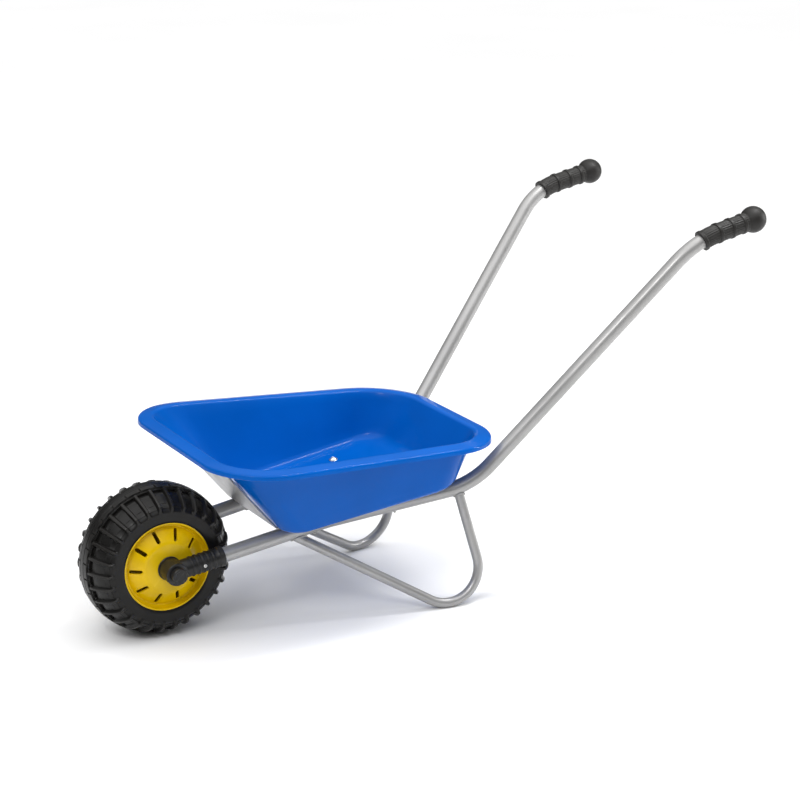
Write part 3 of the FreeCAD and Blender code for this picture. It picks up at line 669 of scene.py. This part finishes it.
def make_front_plate():
    foot, base, top = plate_line()
    up = (top - base).normalized()
    back = (foot - base).normalized()
    face = [foot, base + back * PLATE_BEND]
    for step in range(1, PLATE_BEND_STEPS):
        share = step / PLATE_BEND_STEPS
        first = base + back * PLATE_BEND * (1 - share)
        second = base + up * PLATE_BEND * share
        face.append(first.lerp(second, share))
    face += [base + up * PLATE_BEND, base + up * PLATE_MID_RUN, top]
    offset = []
    for index, point in enumerate(face):
        before = face[max(index - 1, 0)]
        after = face[min(index + 1, len(face) - 1)]
        along = (after - before).normalized()
        out = Vector((along.z, 0, -along.x))
        if out.z > 0 or (abs(out.z) < 1e-6 and out.x > 0):
            out = -out
        offset.append(point + out * PLATE_SHEET)
    section = face + offset[::-1]
    rows = (
        (-PLATE_HALF, PLATE_EDGE),
        (-PLATE_HALF + PLATE_EDGE, 0.0),
        (PLATE_HALF - PLATE_EDGE, 0.0),
        (PLATE_HALF, PLATE_EDGE),
    )
    verts = []
    count = len(section)
    for y, inset in rows:
        for index, point in enumerate(section):
            partner = section[count - 1 - index]
            inwards = (partner - point).normalized()
            verts.append(point + inwards * inset + Vector((0, y, 0)))
    faces = grid_faces(len(rows), count)
    for start in (0, (len(rows) - 1) * count):
        last = start + count - 1
        for index in range(count // 2 - 1):
            faces.append((start + index, start + index + 1, last - 1 - index, last - index))
    plate = mesh_object("front_plate_sheet", verts, faces, SILVER_PAINT, 40.0)
    add_part(plate, "frame", "frame_paint", "front_plate")


make_front_plate()

SCREWS_AT = (195.0, 306.0)
SCREW_RADIUS = 1.9
SCREW_HEAD_RADIUS = 5.2
SCREW_HEAD_HEIGHT = 2.8
SCREW_TIP = 2.5
SCREW_POINT = 1.2
SCREW_THREADED = 9.0
THREAD_PITCH = 0.7
THREAD_ROOT = 0.82
HEAD_STEPS = 8
HEAD_RIM = 0.35
WASHER_RADIUS = 6.3
WASHER_BORE = 2.0
WASHER_SHEET = 0.8
RECESS_SIZE = 5.0
RECESS_DEPTH = 2.4
CLOSED_END = 0.02


def tube_y_at(x):
    start = 0 if x < TUBE_POINTS[1][0] else 1
    first, second = TUBE_POINTS[start:start + 2]
    return first[1] + (x - first[0]) / (second[0] - first[0]) * (second[1] - first[1])


def screw_mesh(seat):
    """Domed head and a threaded shank that shows under the tube."""
    under = seat + FLOOR_NORMAL * WASHER_SHEET
    length = SHEET + PLATE_SHEET + 2 * TUBE_RADIUS + SCREW_TIP + 1.0
    ball = (SCREW_HEAD_RADIUS ** 2 + SCREW_HEAD_HEIGHT ** 2) / (2 * SCREW_HEAD_HEIGHT)
    shank = [(-length, SCREW_RADIUS * 0.35), (-length + SCREW_POINT, SCREW_RADIUS * 0.95)]
    turn = -length + SCREW_POINT
    while turn < -length + SCREW_THREADED:
        shank.append((turn + THREAD_PITCH / 2, SCREW_RADIUS))
        shank.append((turn + THREAD_PITCH, SCREW_RADIUS * THREAD_ROOT))
        turn += THREAD_PITCH
    shank += [
        (-0.2, SCREW_RADIUS),
        (0.0, SCREW_HEAD_RADIUS - 0.5),
        (HEAD_RIM, SCREW_HEAD_RADIUS),
    ]
    dome = []
    for step in range(1, HEAD_STEPS + 1):
        radius = SCREW_HEAD_RADIUS * (1 - step / HEAD_STEPS) + CLOSED_END
        height = SCREW_HEAD_HEIGHT - ball + math.sqrt(ball ** 2 - radius ** 2)
        dome.append((max(height, HEAD_RIM + 0.01), radius))
    return lathe(shank + dome, under, FLOOR_NORMAL, 40)


def boolean_cut(obj, cutter):
    """Cut one mesh object from another and keep the result as plain mesh."""
    modifier = obj.modifiers.new("cut", "BOOLEAN")
    modifier.operation = "DIFFERENCE"
    modifier.solver = "EXACT"
    modifier.object = cutter
    bpy.context.view_layer.update()
    graph = bpy.context.evaluated_depsgraph_get()
    mesh = bpy.data.meshes.new_from_object(obj.evaluated_get(graph))
    obj.modifiers.remove(modifier)
    obj.data = mesh
    spare = cutter.data
    bpy.data.objects.remove(cutter)
    bpy.data.meshes.remove(spare)


def box_mesh(centre, axes, sizes):
    verts = []
    ends = (-0.5, 0.5)
    for a in ends:
        for b in ends:
            for c in ends:
                corner = centre + axes[0] * sizes[0] * a + axes[1] * sizes[1] * b
                verts.append(corner + axes[2] * sizes[2] * c)
    faces = [(0, 1, 3, 2), (4, 6, 7, 5), (0, 4, 5, 1), (2, 3, 7, 6), (0, 2, 6, 4), (1, 5, 7, 3)]
    return verts, faces


def cross_recess(obj, centre, out, size, depth, turn):
    """Cut a cross recess into a screw head, turned by an angle in radians."""
    side = out.orthogonal().normalized()
    side = Matrix.Rotation(turn, 3, out) @ side
    other = out.cross(side)
    for first, second in ((side, other), (other, side)):
        verts, faces = box_mesh(centre, (first, second, out), (size, size * 0.24, depth))
        boolean_cut(obj, mesh_object("recess", verts, faces, ZINC))


def washer_section():
    """Closed (height, radius) section of a washer with softened edges."""
    return [
        (0.0, WASHER_BORE),
        (0.0, WASHER_RADIUS - 0.2),
        (0.2, WASHER_RADIUS),
        (0.6, WASHER_RADIUS),
        (WASHER_SHEET, WASHER_RADIUS - 0.25),
        (WASHER_SHEET, WASHER_BORE + 0.2),
        (0.6, WASHER_BORE),
    ]


def make_tray_screws():
    washers = []
    for row, x in enumerate(SCREWS_AT):
        for tag, side in SIDES.items():
            seat = behind(x, side * tube_y_at(x), floor_z(x, SHEET))
            verts, faces = screw_mesh(seat)
            screw = mesh_object("tray_screw_%d_%s" % (row + 1, tag), verts, faces, ZINC, 40.0)
            top = seat + FLOOR_NORMAL * (WASHER_SHEET + SCREW_HEAD_HEIGHT)
            cross_recess(screw, top, FLOOR_NORMAL, RECESS_SIZE, RECESS_DEPTH, 0.4 + row + side)
            add_part(screw, "frame", "fastener", "tray_screws")
            washers.append(lathe(washer_section(), seat, FLOOR_NORMAL, 48, closed=True))
    verts, faces = merged(*washers)
    washer_set = mesh_object("tray_washer_set", verts, faces, ZINC, 35.0)
    add_part(washer_set, "frame", "fastener", "tray_washers")


make_tray_screws()


# ---------------------------------------------------------------- fork ends

SLEEVE_LENGTH = 68.0
SLEEVE_RADIUS = 12.4
SLEEVE_RIB_RADIUS = 13.4
SLEEVE_RIBS = 5
SLEEVE_FIRST_RIB = 22.0
SLEEVE_RIB_PITCH = 7.4
SLEEVE_RIB_WIDTH = 3.2
SLEEVE_RIB_STEPS = 8
SLEEVE_COLLAR = 7.0
SLEEVE_SCREW_AT = 38.0
EYE_RADIUS = 15.0
EYE_ENDS = (52.0, 77.0)
EYE_GAP = 0.02
SPACER_RADIUS = 16.0
SPACER_INNER = 49.4
CAP_RADIUS = 10.6
CAP_OUTER = 85.6
CAP_DISH_DEPTH = 0.5
AXLE_RADIUS = 5.0
SLEEVE_SCREW_HEAD_HEIGHT = 1.45


def sleeve_profile():
    """(distance, radius) down the ribbed barrel of the sleeve."""
    profile = [(0.0, SLEEVE_RADIUS - 3.0), (1.0, SLEEVE_RADIUS - 0.6), (2.5, SLEEVE_RADIUS)]
    rise = SLEEVE_RIB_RADIUS - SLEEVE_RADIUS
    for rib in range(SLEEVE_RIBS):
        start = SLEEVE_FIRST_RIB + SLEEVE_RIB_PITCH * rib
        profile.append((start - 0.3, SLEEVE_RADIUS))
        for step in range(SLEEVE_RIB_STEPS + 1):
            angle = math.pi * step / SLEEVE_RIB_STEPS
            along = start + SLEEVE_RIB_WIDTH / 2 * (1 - math.cos(angle))
            inside_rib = 0 < step < SLEEVE_RIB_STEPS
            height = rise * math.sin(angle) ** 0.7 if inside_rib else 0.0
            profile.append((along, SLEEVE_RADIUS + height))
        profile.append((start + SLEEVE_RIB_WIDTH + 0.3, SLEEVE_RADIUS))
    collar = SLEEVE_LENGTH - SLEEVE_COLLAR
    return profile + [
        (collar - 0.4, SLEEVE_RADIUS),
        (collar, SLEEVE_RADIUS + 0.3),
        (collar + 0.6, SLEEVE_RIB_RADIUS),
        (SLEEVE_LENGTH - 0.8, SLEEVE_RIB_RADIUS),
        (SLEEVE_LENGTH, SLEEVE_RIB_RADIUS - 0.8),
        (SLEEVE_LENGTH, TUBE_RADIUS + 0.05),
        (SLEEVE_LENGTH - 4.0, TUBE_RADIUS - 0.2),
    ]


def rounded_ends(start, end, radius, edge, steps=5):
    """Lathe profile of a solid disc with rounded edges."""
    angles = [math.pi / 2 * step / steps for step in range(steps + 1)]
    profile = [(start, CLOSED_END)]
    for a in angles:
        profile.append((start + edge - edge * math.cos(a), radius - edge + edge * math.sin(a)))
    for a in angles:
        profile.append((end - edge + edge * math.sin(a), radius - edge + edge * math.cos(a)))
    profile.append((end, CLOSED_END))
    return profile


def collar_section():
    """Closed (Y, radius) section of the collar between rim and sleeve eye."""
    bore = AXLE_RADIUS + 0.1
    return [
        (SPACER_INNER, bore),
        (SPACER_INNER, SPACER_RADIUS - 0.7),
        (SPACER_INNER + 0.7, SPACER_RADIUS),
        (EYE_ENDS[0] - 0.3, SPACER_RADIUS),
        (EYE_ENDS[0], SPACER_RADIUS - 0.3),
        (EYE_ENDS[0], bore),
    ]


def cap_profile():
    """(Y, radius) profile of the axle cap, dished in its outer face."""
    cap = rounded_ends(EYE_ENDS[1] + 0.05, CAP_OUTER, CAP_RADIUS, 1.3)
    dish = CAP_OUTER - CAP_DISH_DEPTH
    return cap[:-1] + [(CAP_OUTER, CAP_RADIUS - 3.2), (dish, CAP_RADIUS - 3.7), (dish, CLOSED_END)]


def sleeve_screw_profile():
    """(height, radius) profile of the sleeve screw: shank, then a low domed head."""
    return [
        (-7.5, 0.4), (-6.5, 1.6), (0.0, 1.65), (0.05, 2.1), (0.5, 2.3),
        (0.9, 2.2), (1.2, 1.8), (1.4, 0.9), (SLEEVE_SCREW_HEAD_HEIGHT, CLOSED_END),
    ]


def black_turned(name, profile, origin, axis, segments, node, closed=False):
    verts, faces = lathe(profile, origin, axis, segments, closed)
    piece = mesh_object(name, verts, faces, BLACK_PLASTIC, 38.0)
    add_part(piece, "frame", "black_plastic", node)


def make_fork_end(side, tag):
    start, second = on_side(TUBE_POINTS, side)[:2]
    along = (second - start).normalized()
    out = Vector((0, side, 0))
    eye = rounded_ends(EYE_ENDS[0] + EYE_GAP, EYE_ENDS[1], EYE_RADIUS, 1.2)
    black_turned("sleeve_barrel_" + tag, sleeve_profile(), start, along, 72, "fork_sleeve_" + tag)
    black_turned("sleeve_eye_" + tag, eye, WHEEL_CENTRE, out, 72, "fork_sleeve_" + tag)
    black_turned(
        "hub_collar_" + tag, collar_section(), WHEEL_CENTRE, out, 72, "hub_spacer_" + tag, closed=True,
    )
    black_turned("axle_end_cap_" + tag, cap_profile(), WHEEL_CENTRE, out, 64, "axle_cap_" + tag)
    seat = start + along * SLEEVE_SCREW_AT + out * (SLEEVE_RADIUS + 0.2)
    verts, faces = lathe(sleeve_screw_profile(), seat, out, 36)
    screw = mesh_object("sleeve_screw_head_" + tag, verts, faces, ZINC, 40.0)
    cross_recess(screw, seat + out * SLEEVE_SCREW_HEAD_HEIGHT, out, 2.4, 1.4, 0.5)
    add_part(screw, "frame", "fastener", "sleeve_screw_" + tag)


for tag, side in SIDES.items():
    make_fork_end(side, tag)


# ---------------------------------------------------------------- grips

GRIP_LENGTH = 87.0
GRIP_RADIUS = 12.5
GRIP_RING_RADIUS = 14.1
GRIP_RING_WIDTH = 4.4
GRIP_RINGS = (84.8, 60.3, 39.2, 20.1)
GRIP_RIDGES = 28
GRIP_RIDGE_HEIGHT = 0.45
BALL_RADIUS = 18.0
BALL_NECK = 8.0
BALL_STEPS = 25
GRIP_STEP = 0.5
GRIP_SEGMENTS = GRIP_RIDGES * 6


def grip_reach(to_ball, angle):
    """Radius of the grip at a distance before the ball's centre, with small ridges along it."""
    nearest = min(abs(to_ball - ring) for ring in GRIP_RINGS)
    ring = smooth_step((GRIP_RING_WIDTH / 2 + 0.5 - nearest) / 1.0)
    ridge = 0.5 + 0.5 * math.cos(angle * GRIP_RIDGES)
    between = 1 - smooth_step((GRIP_RING_WIDTH / 2 + 1.6 - nearest) / 1.2)
    body = GRIP_RADIUS + GRIP_RIDGE_HEIGHT * between * ridge ** 1.5
    reach = body + (GRIP_RING_RADIUS - body) * ring
    if to_ball < BALL_RADIUS:
        ball = math.sqrt(max(BALL_RADIUS ** 2 - to_ball ** 2, 0.0))
        reach = max(reach if to_ball > BALL_NECK else 0.0, ball)
    return reach


def make_grip(side, tag):
    points = on_side(TUBE_POINTS, side)
    path = bent_path(points, TUBE_BENDS, 60)
    total = path_length(path)
    stations = []
    marks = [GRIP_LENGTH - GRIP_STEP * step for step in range(int(GRIP_LENGTH / GRIP_STEP))]
    first, direction = point_at(path, total - GRIP_LENGTH)
    for inset in (2.2, 1.0, 0.3):
        stations.append((first, direction, GRIP_RADIUS - inset + 0.2))
    for mark in marks:
        point, direction = point_at(path, total - mark)
        stations.append((point, direction, lambda angle, mark=mark: grip_reach(mark, angle)))
    end = points[-1]
    direction = (points[-1] - points[-2]).normalized()
    for step in range(BALL_STEPS):
        angle = math.pi / 2 * step / BALL_STEPS
        centre = end + direction * BALL_RADIUS * math.sin(angle)
        stations.append((centre, direction, BALL_RADIUS * math.cos(angle)))
    verts, faces = sweep(stations, GRIP_SEGMENTS)
    grip = mesh_object("ball_grip_" + tag, verts, faces, GRIP_RUBBER, 60.0)
    add_part(grip, "frame", "grip", "grip_" + tag)


for tag, side in SIDES.items():
    make_grip(side, tag)


# ---------------------------------------------------------------- tyre

TYRE_RADIUS = 100.0
CROWN_ARC = 72.0
PITCHES = 30
RIB_HALF_ANGLE = 0.75
RIB_FLANK_ANGLE = 1.7
SHOULDER_INNER_Y = 16.5
RIB_FOOT_RADIUS = 73.5
PANEL_DROP = 3.6
PANEL_SAG = 1.2
PANEL_RAMP = 6.0
PANEL_FOOT_SHARE = 0.12
POCKET_DEPTH = 2.4
POCKET_WIDTH = 5.0
GROOVE_DEPTH = 2.6
LAND_DROP = 0.5
CENTRE_GROOVE_YS = (4.2, 5.2)
CENTRE_GROOVE_DEPTH = 1.7
LAND_OUTER_Y = 13.0
SIPE_FROM_Y = 5.3
SIPE_DEPTH = 1.5
SIPE_HALF_ANGLE = 0.75
SIPE_FLANK_ANGLE = 0.5
# Where the skin has points: degrees within one pitch, and distances from the middle of the tread.
ANGLES_PER_PITCH = (
    0.0, 0.85, 1.15, 1.5, 1.85, 2.3, 3.2, 4.3, 5.3, 5.7,
    6.3, 6.7, 7.7, 8.8, 9.7, 10.15, 10.5, 10.85, 11.15,
)
CROWN_YS = (
    0.0, 3.4, 3.9, 4.9, 5.4, 8.0, 11.0, 12.6, 13.2, 13.8, 15.4, 16.0, 16.6, 17.4,
    19.0, 20.6, 21.4, 22.1, 23.0, 25.0, 28.0, 31.0, 34.0, 37.0, 40.0, 42.5, 44.5, 46.0,
)
# (y, radius, outward y, outward radius) from the shoulder to the bead.
SIDEWALL = (
    (47.0, 82.3, 0.80, 0.60), (47.4, 81.0, 0.93, 0.37), (47.5, 79.0, 1.0, 0.0),
    (47.4, 77.0, 1.0, 0.0), (47.3, 75.2, 1.0, 0.0), (47.0, 74.0, 1.0, -0.1),
    (46.6, 73.0, 1.0, -0.15), (46.4, 72.0, 1.0, 0.0), (46.4, 69.0, 1.0, 0.0),
    (46.3, 66.0, 1.0, 0.0), (46.0, 63.0, 1.0, -0.1), (45.6, 61.0, 0.95, -0.3),
    (45.0, 59.8, 0.8, -0.6), (44.7, 59.1, 0.4, -0.9),
)
# (y, radius) from the bead round the inside to the middle.
TYRE_INSIDE = [
    (43.6, 58.98), (42.8, 58.98), (42.8, 57.6), (36.0, 57.6), (36.0, 62.5),
    (41.0, 64.5), (41.2, 74.0), (38.0, 84.0), (28.0, 90.5), (14.0, 92.5),
]


def crown_radius(y):
    return TYRE_RADIUS - CROWN_ARC + math.sqrt(CROWN_ARC * CROWN_ARC - y * y)


def tyre_profile():
    """Half profile from the middle of the tread to the bead: (y, radius, outward y, outward radius)."""
    samples = []
    for y in CROWN_YS:
        radius = crown_radius(y)
        samples.append((y, radius, y / CROWN_ARC, (radius - TYRE_RADIUS + CROWN_ARC) / CROWN_ARC))
    for y, radius, out_y, out_radius in SIDEWALL:
        length = math.hypot(out_y, out_radius)
        samples.append((y, radius, out_y / length, out_radius / length))
    return samples


def tread_drop(y, radius, turn):
    """How far the rubber is below the tread envelope, at an angle in degrees within one pitch."""
    to_rib = min(turn, 360.0 / PITCHES - turn)
    rib = smooth_step((RIB_HALF_ANGLE + RIB_FLANK_ANGLE - to_rib) / RIB_FLANK_ANGLE)
    to_sipe = abs(turn - 180.0 / PITCHES)
    if y < SHOULDER_INNER_Y - 0.3:
        drop = LAND_DROP
        if CENTRE_GROOVE_YS[0] < y < CENTRE_GROOVE_YS[1]:
            drop = CENTRE_GROOVE_DEPTH
        if y > LAND_OUTER_Y:
            drop = GROOVE_DEPTH
        elif y > SIPE_FROM_Y:
            drop += SIPE_DEPTH * smooth_step((SIPE_HALF_ANGLE - to_sipe) / SIPE_FLANK_ANGLE)
        return drop
    sag = PANEL_SAG * math.sin(math.pi * turn * PITCHES / 360.0)
    ramp = smooth_step((radius - RIB_FOOT_RADIUS) / PANEL_RAMP)
    panel = (PANEL_DROP + sag) * (PANEL_FOOT_SHARE + (1 - PANEL_FOOT_SHARE) * ramp)
    pocket = POCKET_DEPTH if y < SHOULDER_INNER_Y + POCKET_WIDTH else 0.0
    return (panel + pocket) * (1 - rib)


def make_tyre():
    """Tread, shoulders and outer sidewalls in one skin, closed round the inside of the tyre."""
    half = tyre_profile()
    pitch = 360.0 / PITCHES
    verts = []
    for index in range(PITCHES):
        for turn in ANGLES_PER_PITCH:
            angle = math.radians(index * pitch + turn)
            ring = []
            for y, radius, out_y, out_radius in half:
                drop = tread_drop(y, radius, turn) if radius > RIB_FOOT_RADIUS else 0.0
                ring.append((y - out_y * drop, radius - out_radius * drop))
            ring += TYRE_INSIDE
            loop = ring + [(-y, radius) for y, radius in reversed(ring[1:])]
            for y, radius in loop:
                x = AXLE.x + radius * math.cos(angle)
                verts.append(Vector((x, y, AXLE.z + radius * math.sin(angle))))
    count = 2 * (len(half) + len(TYRE_INSIDE)) - 1
    faces = grid_faces(PITCHES * len(ANGLES_PER_PITCH), count, close_rows=True)
    tyre = mesh_object("moulded_tyre", verts, faces, TYRE_RUBBER, 30.0)
    add_part(tyre, "wheel", "tyre", "tyre")


make_tyre()


# ---------------------------------------------------------------- rim

BARREL_RADIUS = 57.5
LIP_RADIUS = 58.9
LIP_YS = (43.0, 44.6)
RIM_WALL = 2.2
LIP_RING = 1.9
LIP_TAPER = 6.0
TROUGH_Y = 34.6
TROUGH_RADIUS = 53.4
WEB_SHEET = 2.2
WEB_GAP = 0.1
DISH_CREST_RADIUS = 33.5
DISH_CREST_Y = 49.0
HUB_BOSS_RADIUS = 14.0
BUSH_RADIUS = 9.05
SLOTS = 10
SLOT_RADII = (35.0, 50.2)
SLOT_WIDTH = 5.2
SLOT_END_STEPS = 8
SLOT_CUT_YS = (26.0, 60.0)
RIM_SEGMENTS = 180
RIM_SMOOTH_ANGLE = 30.0


def rounded_corner(before, corner, after, reach, steps=6):
    """Points that round a corner of a (y, radius) section."""
    corner = Vector(corner)
    first = corner + (Vector(before) - corner).normalized() * reach
    last = corner + (Vector(after) - corner).normalized() * reach
    points = []
    for step in range(steps + 1):
        share = step / steps
        point = first.lerp(corner, share).lerp(corner.lerp(last, share), share)
        points.append((point.x, point.y))
    return points


def rim_profile():
    """Closed (y, radius) outline of one rim half, from which rim_hollow is cut."""
    inside = BARREL_RADIUS - RIM_WALL
    lip_in, lip_out = LIP_YS
    lip_corner = (lip_out, LIP_RADIUS)
    ring_corner = (lip_out, LIP_RADIUS - LIP_RING)
    lip_foot = (lip_out - LIP_TAPER, inside + 0.4)
    trough = (TROUGH_Y, TROUGH_RADIUS)
    crest = (DISH_CREST_Y, DISH_CREST_RADIUS)
    hub = (DISH_CREST_Y, BUSH_RADIUS)
    section = [(WEB_GAP, BARREL_RADIUS), (lip_in, BARREL_RADIUS), (lip_in, LIP_RADIUS)]
    section += rounded_corner((lip_in, LIP_RADIUS), lip_corner, ring_corner, 0.5)
    section += rounded_corner(lip_corner, ring_corner, lip_foot, 0.6)
    section += rounded_corner(ring_corner, lip_foot, trough, 1.6)
    section += rounded_corner(lip_foot, trough, crest, 2.4)
    section += rounded_corner(trough, crest, hub, 4.0)
    section += [hub, (WEB_GAP, BUSH_RADIUS)]
    return section


def rim_hollow():
    """Closed (y, radius) section of the space between the dish and the web."""
    inside = BARREL_RADIUS - RIM_WALL
    back = DISH_CREST_Y - RIM_WALL
    floor = TROUGH_Y - RIM_WALL
    return [
        (WEB_SHEET, inside), (WEB_SHEET, HUB_BOSS_RADIUS), (back, HUB_BOSS_RADIUS),
        (back, DISH_CREST_RADIUS - 1.2), (floor, TROUGH_RADIUS - RIM_WALL), (floor, inside),
    ]


def slot_cutters(side):
    """Round-ended radial bars through one dish."""
    pieces = []
    half = SLOT_WIDTH / 2
    for index in range(SLOTS):
        angle = 2 * math.pi * index / SLOTS
        ring = []
        for end, centre in ((1, SLOT_RADII[1] - half), (-1, SLOT_RADII[0] + half)):
            for step in range(SLOT_END_STEPS + 1):
                turn = -math.pi / 2 + math.pi * step / SLOT_END_STEPS
                ring.append((centre + end * half * math.cos(turn), end * half * math.sin(turn)))
        verts = []
        for y in SLOT_CUT_YS:
            for reach, aside in ring:
                x = AXLE.x + reach * math.cos(angle) - aside * math.sin(angle)
                z = AXLE.z + reach * math.sin(angle) + aside * math.cos(angle)
                verts.append(Vector((x, side * y, z)))
        count = len(ring)
        faces = grid_faces(2, count) + [tuple(range(count)), tuple(range(count, 2 * count))]
        pieces.append((verts, faces))
    return merged(*pieces)


def make_rim(side, tag):
    out = Vector((0, side, 0))
    verts, faces = lathe(rim_profile(), WHEEL_CENTRE, out, RIM_SEGMENTS, closed=True)
    rim = mesh_object("rim_shell_" + tag, verts, faces, YELLOW_PLASTIC, RIM_SMOOTH_ANGLE)
    verts, faces = lathe(rim_hollow(), WHEEL_CENTRE, out, RIM_SEGMENTS, closed=True)
    boolean_cut(rim, mesh_object("hollow", verts, faces, YELLOW_PLASTIC))
    verts, faces = slot_cutters(side)
    boolean_cut(rim, mesh_object("slots", verts, faces, YELLOW_PLASTIC))
    rim.data.set_sharp_from_angle(angle=math.radians(RIM_SMOOTH_ANGLE))
    add_part(rim, "wheel", "rim", "rim_half_" + tag)


for tag, side in SIDES.items():
    make_rim(side, tag)


# ---------------------------------------------------------------- carried-over CAD parts

CAD_FINISHES = {
    "rear_strap": SILVER_PAINT,
    "axle": DRAWN_STEEL,
    "hub_tube": BUSH_PLASTIC,
    "hub_bush_left": BUSH_PLASTIC,
    "hub_bush_right": BUSH_PLASTIC,
}
for node, finish in CAD_FINISHES.items():
    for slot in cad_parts[node].material_slots:
        slot.material = finish


# ---------------------------------------------------------------- floor, light and camera

# Places of the lights and camera are in metres. FLOOR_HALF, SENSOR_WIDTH and LENS are in millimetres.
FLOOR_HALF = 16000.0
SKY_RAMP = (0.35, 0.75)
SKY_STRENGTHS = (0.10, 1.06)
SUN_STRENGTH = 1.3
SUN_ANGLE = math.radians(75.0)
SUN_DIRECTION = Vector((0.35, 0.25, -1.0))
SENSOR_WIDTH = 36.0
LENS = 98.37
CAMERA_PLACE = (-1.37284, -2.46271, 1.11435)
CAMERA_RIGHT = (0.8723, -0.4890, 0.0)
CAMERA_BACK = (-0.4678, -0.8346, 0.2907)


def floor_material():
    material, tree, shader = new_material("studio_floor", (0.93, 0.93, 0.93), 0.65)
    drift = map_range(tree, noise(tree, 1.5), 0.35, 0.65, 0.0, 1.0)
    shade = mix_colour(tree, drift, (0.92, 0.92, 0.92), (0.94, 0.94, 0.94))
    tree.links.new(shade, shader.inputs["Base Color"])
    return material


def make_floor():
    half = FLOOR_HALF
    verts = [(-half, -half, 0), (half, -half, 0), (half, half, 0), (-half, half, 0)]
    mesh_object("studio_floor", verts, [(0, 1, 2, 3)], floor_material())


def soft_light(name, place, target, size, power):
    data = bpy.data.lights.new(name, "AREA")
    data.shape = "RECTANGLE"
    data.size, data.size_y = size
    data.energy = power
    lamp = bpy.data.objects.new(name, data)
    lamp.location = Vector(place)
    lamp.rotation_euler = (Vector(target) - Vector(place)).to_track_quat("-Z", "Y").to_euler()
    bpy.context.scene.collection.objects.link(lamp)


def make_lights():
    """A sky that fades towards the horizon, a soft sun and three soft boxes."""
    bpy.context.scene.view_settings.view_transform = "Standard"
    world = bpy.data.worlds.new("studio")
    bpy.context.scene.world = world
    world.use_nodes = True
    sky = world.node_tree
    background = sky.nodes["Background"]
    background.inputs["Color"].default_value = (1, 1, 1, 1)
    place = sky.nodes.new("ShaderNodeTexCoord")
    split = sky.nodes.new("ShaderNodeSeparateXYZ")
    sky.links.new(place.outputs["Generated"], split.inputs["Vector"])
    strength = map_range(sky, split.outputs["Z"], *SKY_RAMP, *SKY_STRENGTHS)
    sky.links.new(strength, background.inputs["Strength"])
    overhead = bpy.data.lights.new("overhead", "SUN")
    overhead.energy = SUN_STRENGTH
    overhead.angle = SUN_ANGLE
    lamp = bpy.data.objects.new("overhead", overhead)
    lamp.rotation_euler = SUN_DIRECTION.to_track_quat("-Z", "Y").to_euler()
    bpy.context.scene.collection.objects.link(lamp)
    soft_light("key", (-1.5, -1.3, 1.9), (0, 0, 0.15), (0.6, 0.4), 12.0)
    soft_light("strip", (0.8, -0.27, 1.9), (-0.1, 0, 0.2), (0.16, 0.9), 18.0)
    soft_light("side", (1.9, -0.6, 0.75), (-0.2, 0, 0.2), (0.16, 0.8), 12.0)


def make_camera():
    data = bpy.data.cameras.new("photo_camera")
    data.sensor_width = SENSOR_WIDTH
    data.lens = LENS
    data.clip_end = 50.0
    camera = bpy.data.objects.new("photo_camera", data)
    right = Vector(CAMERA_RIGHT).normalized()
    back = Vector(CAMERA_BACK).normalized()
    up = back.cross(right).normalized()
    turn = Matrix((right, up, back)).transposed().to_4x4()
    camera.matrix_world = Matrix.Translation(CAMERA_PLACE) @ turn
    bpy.context.scene.collection.objects.link(camera)
    bpy.context.scene.camera = camera


make_floor()
make_lights()
make_camera()
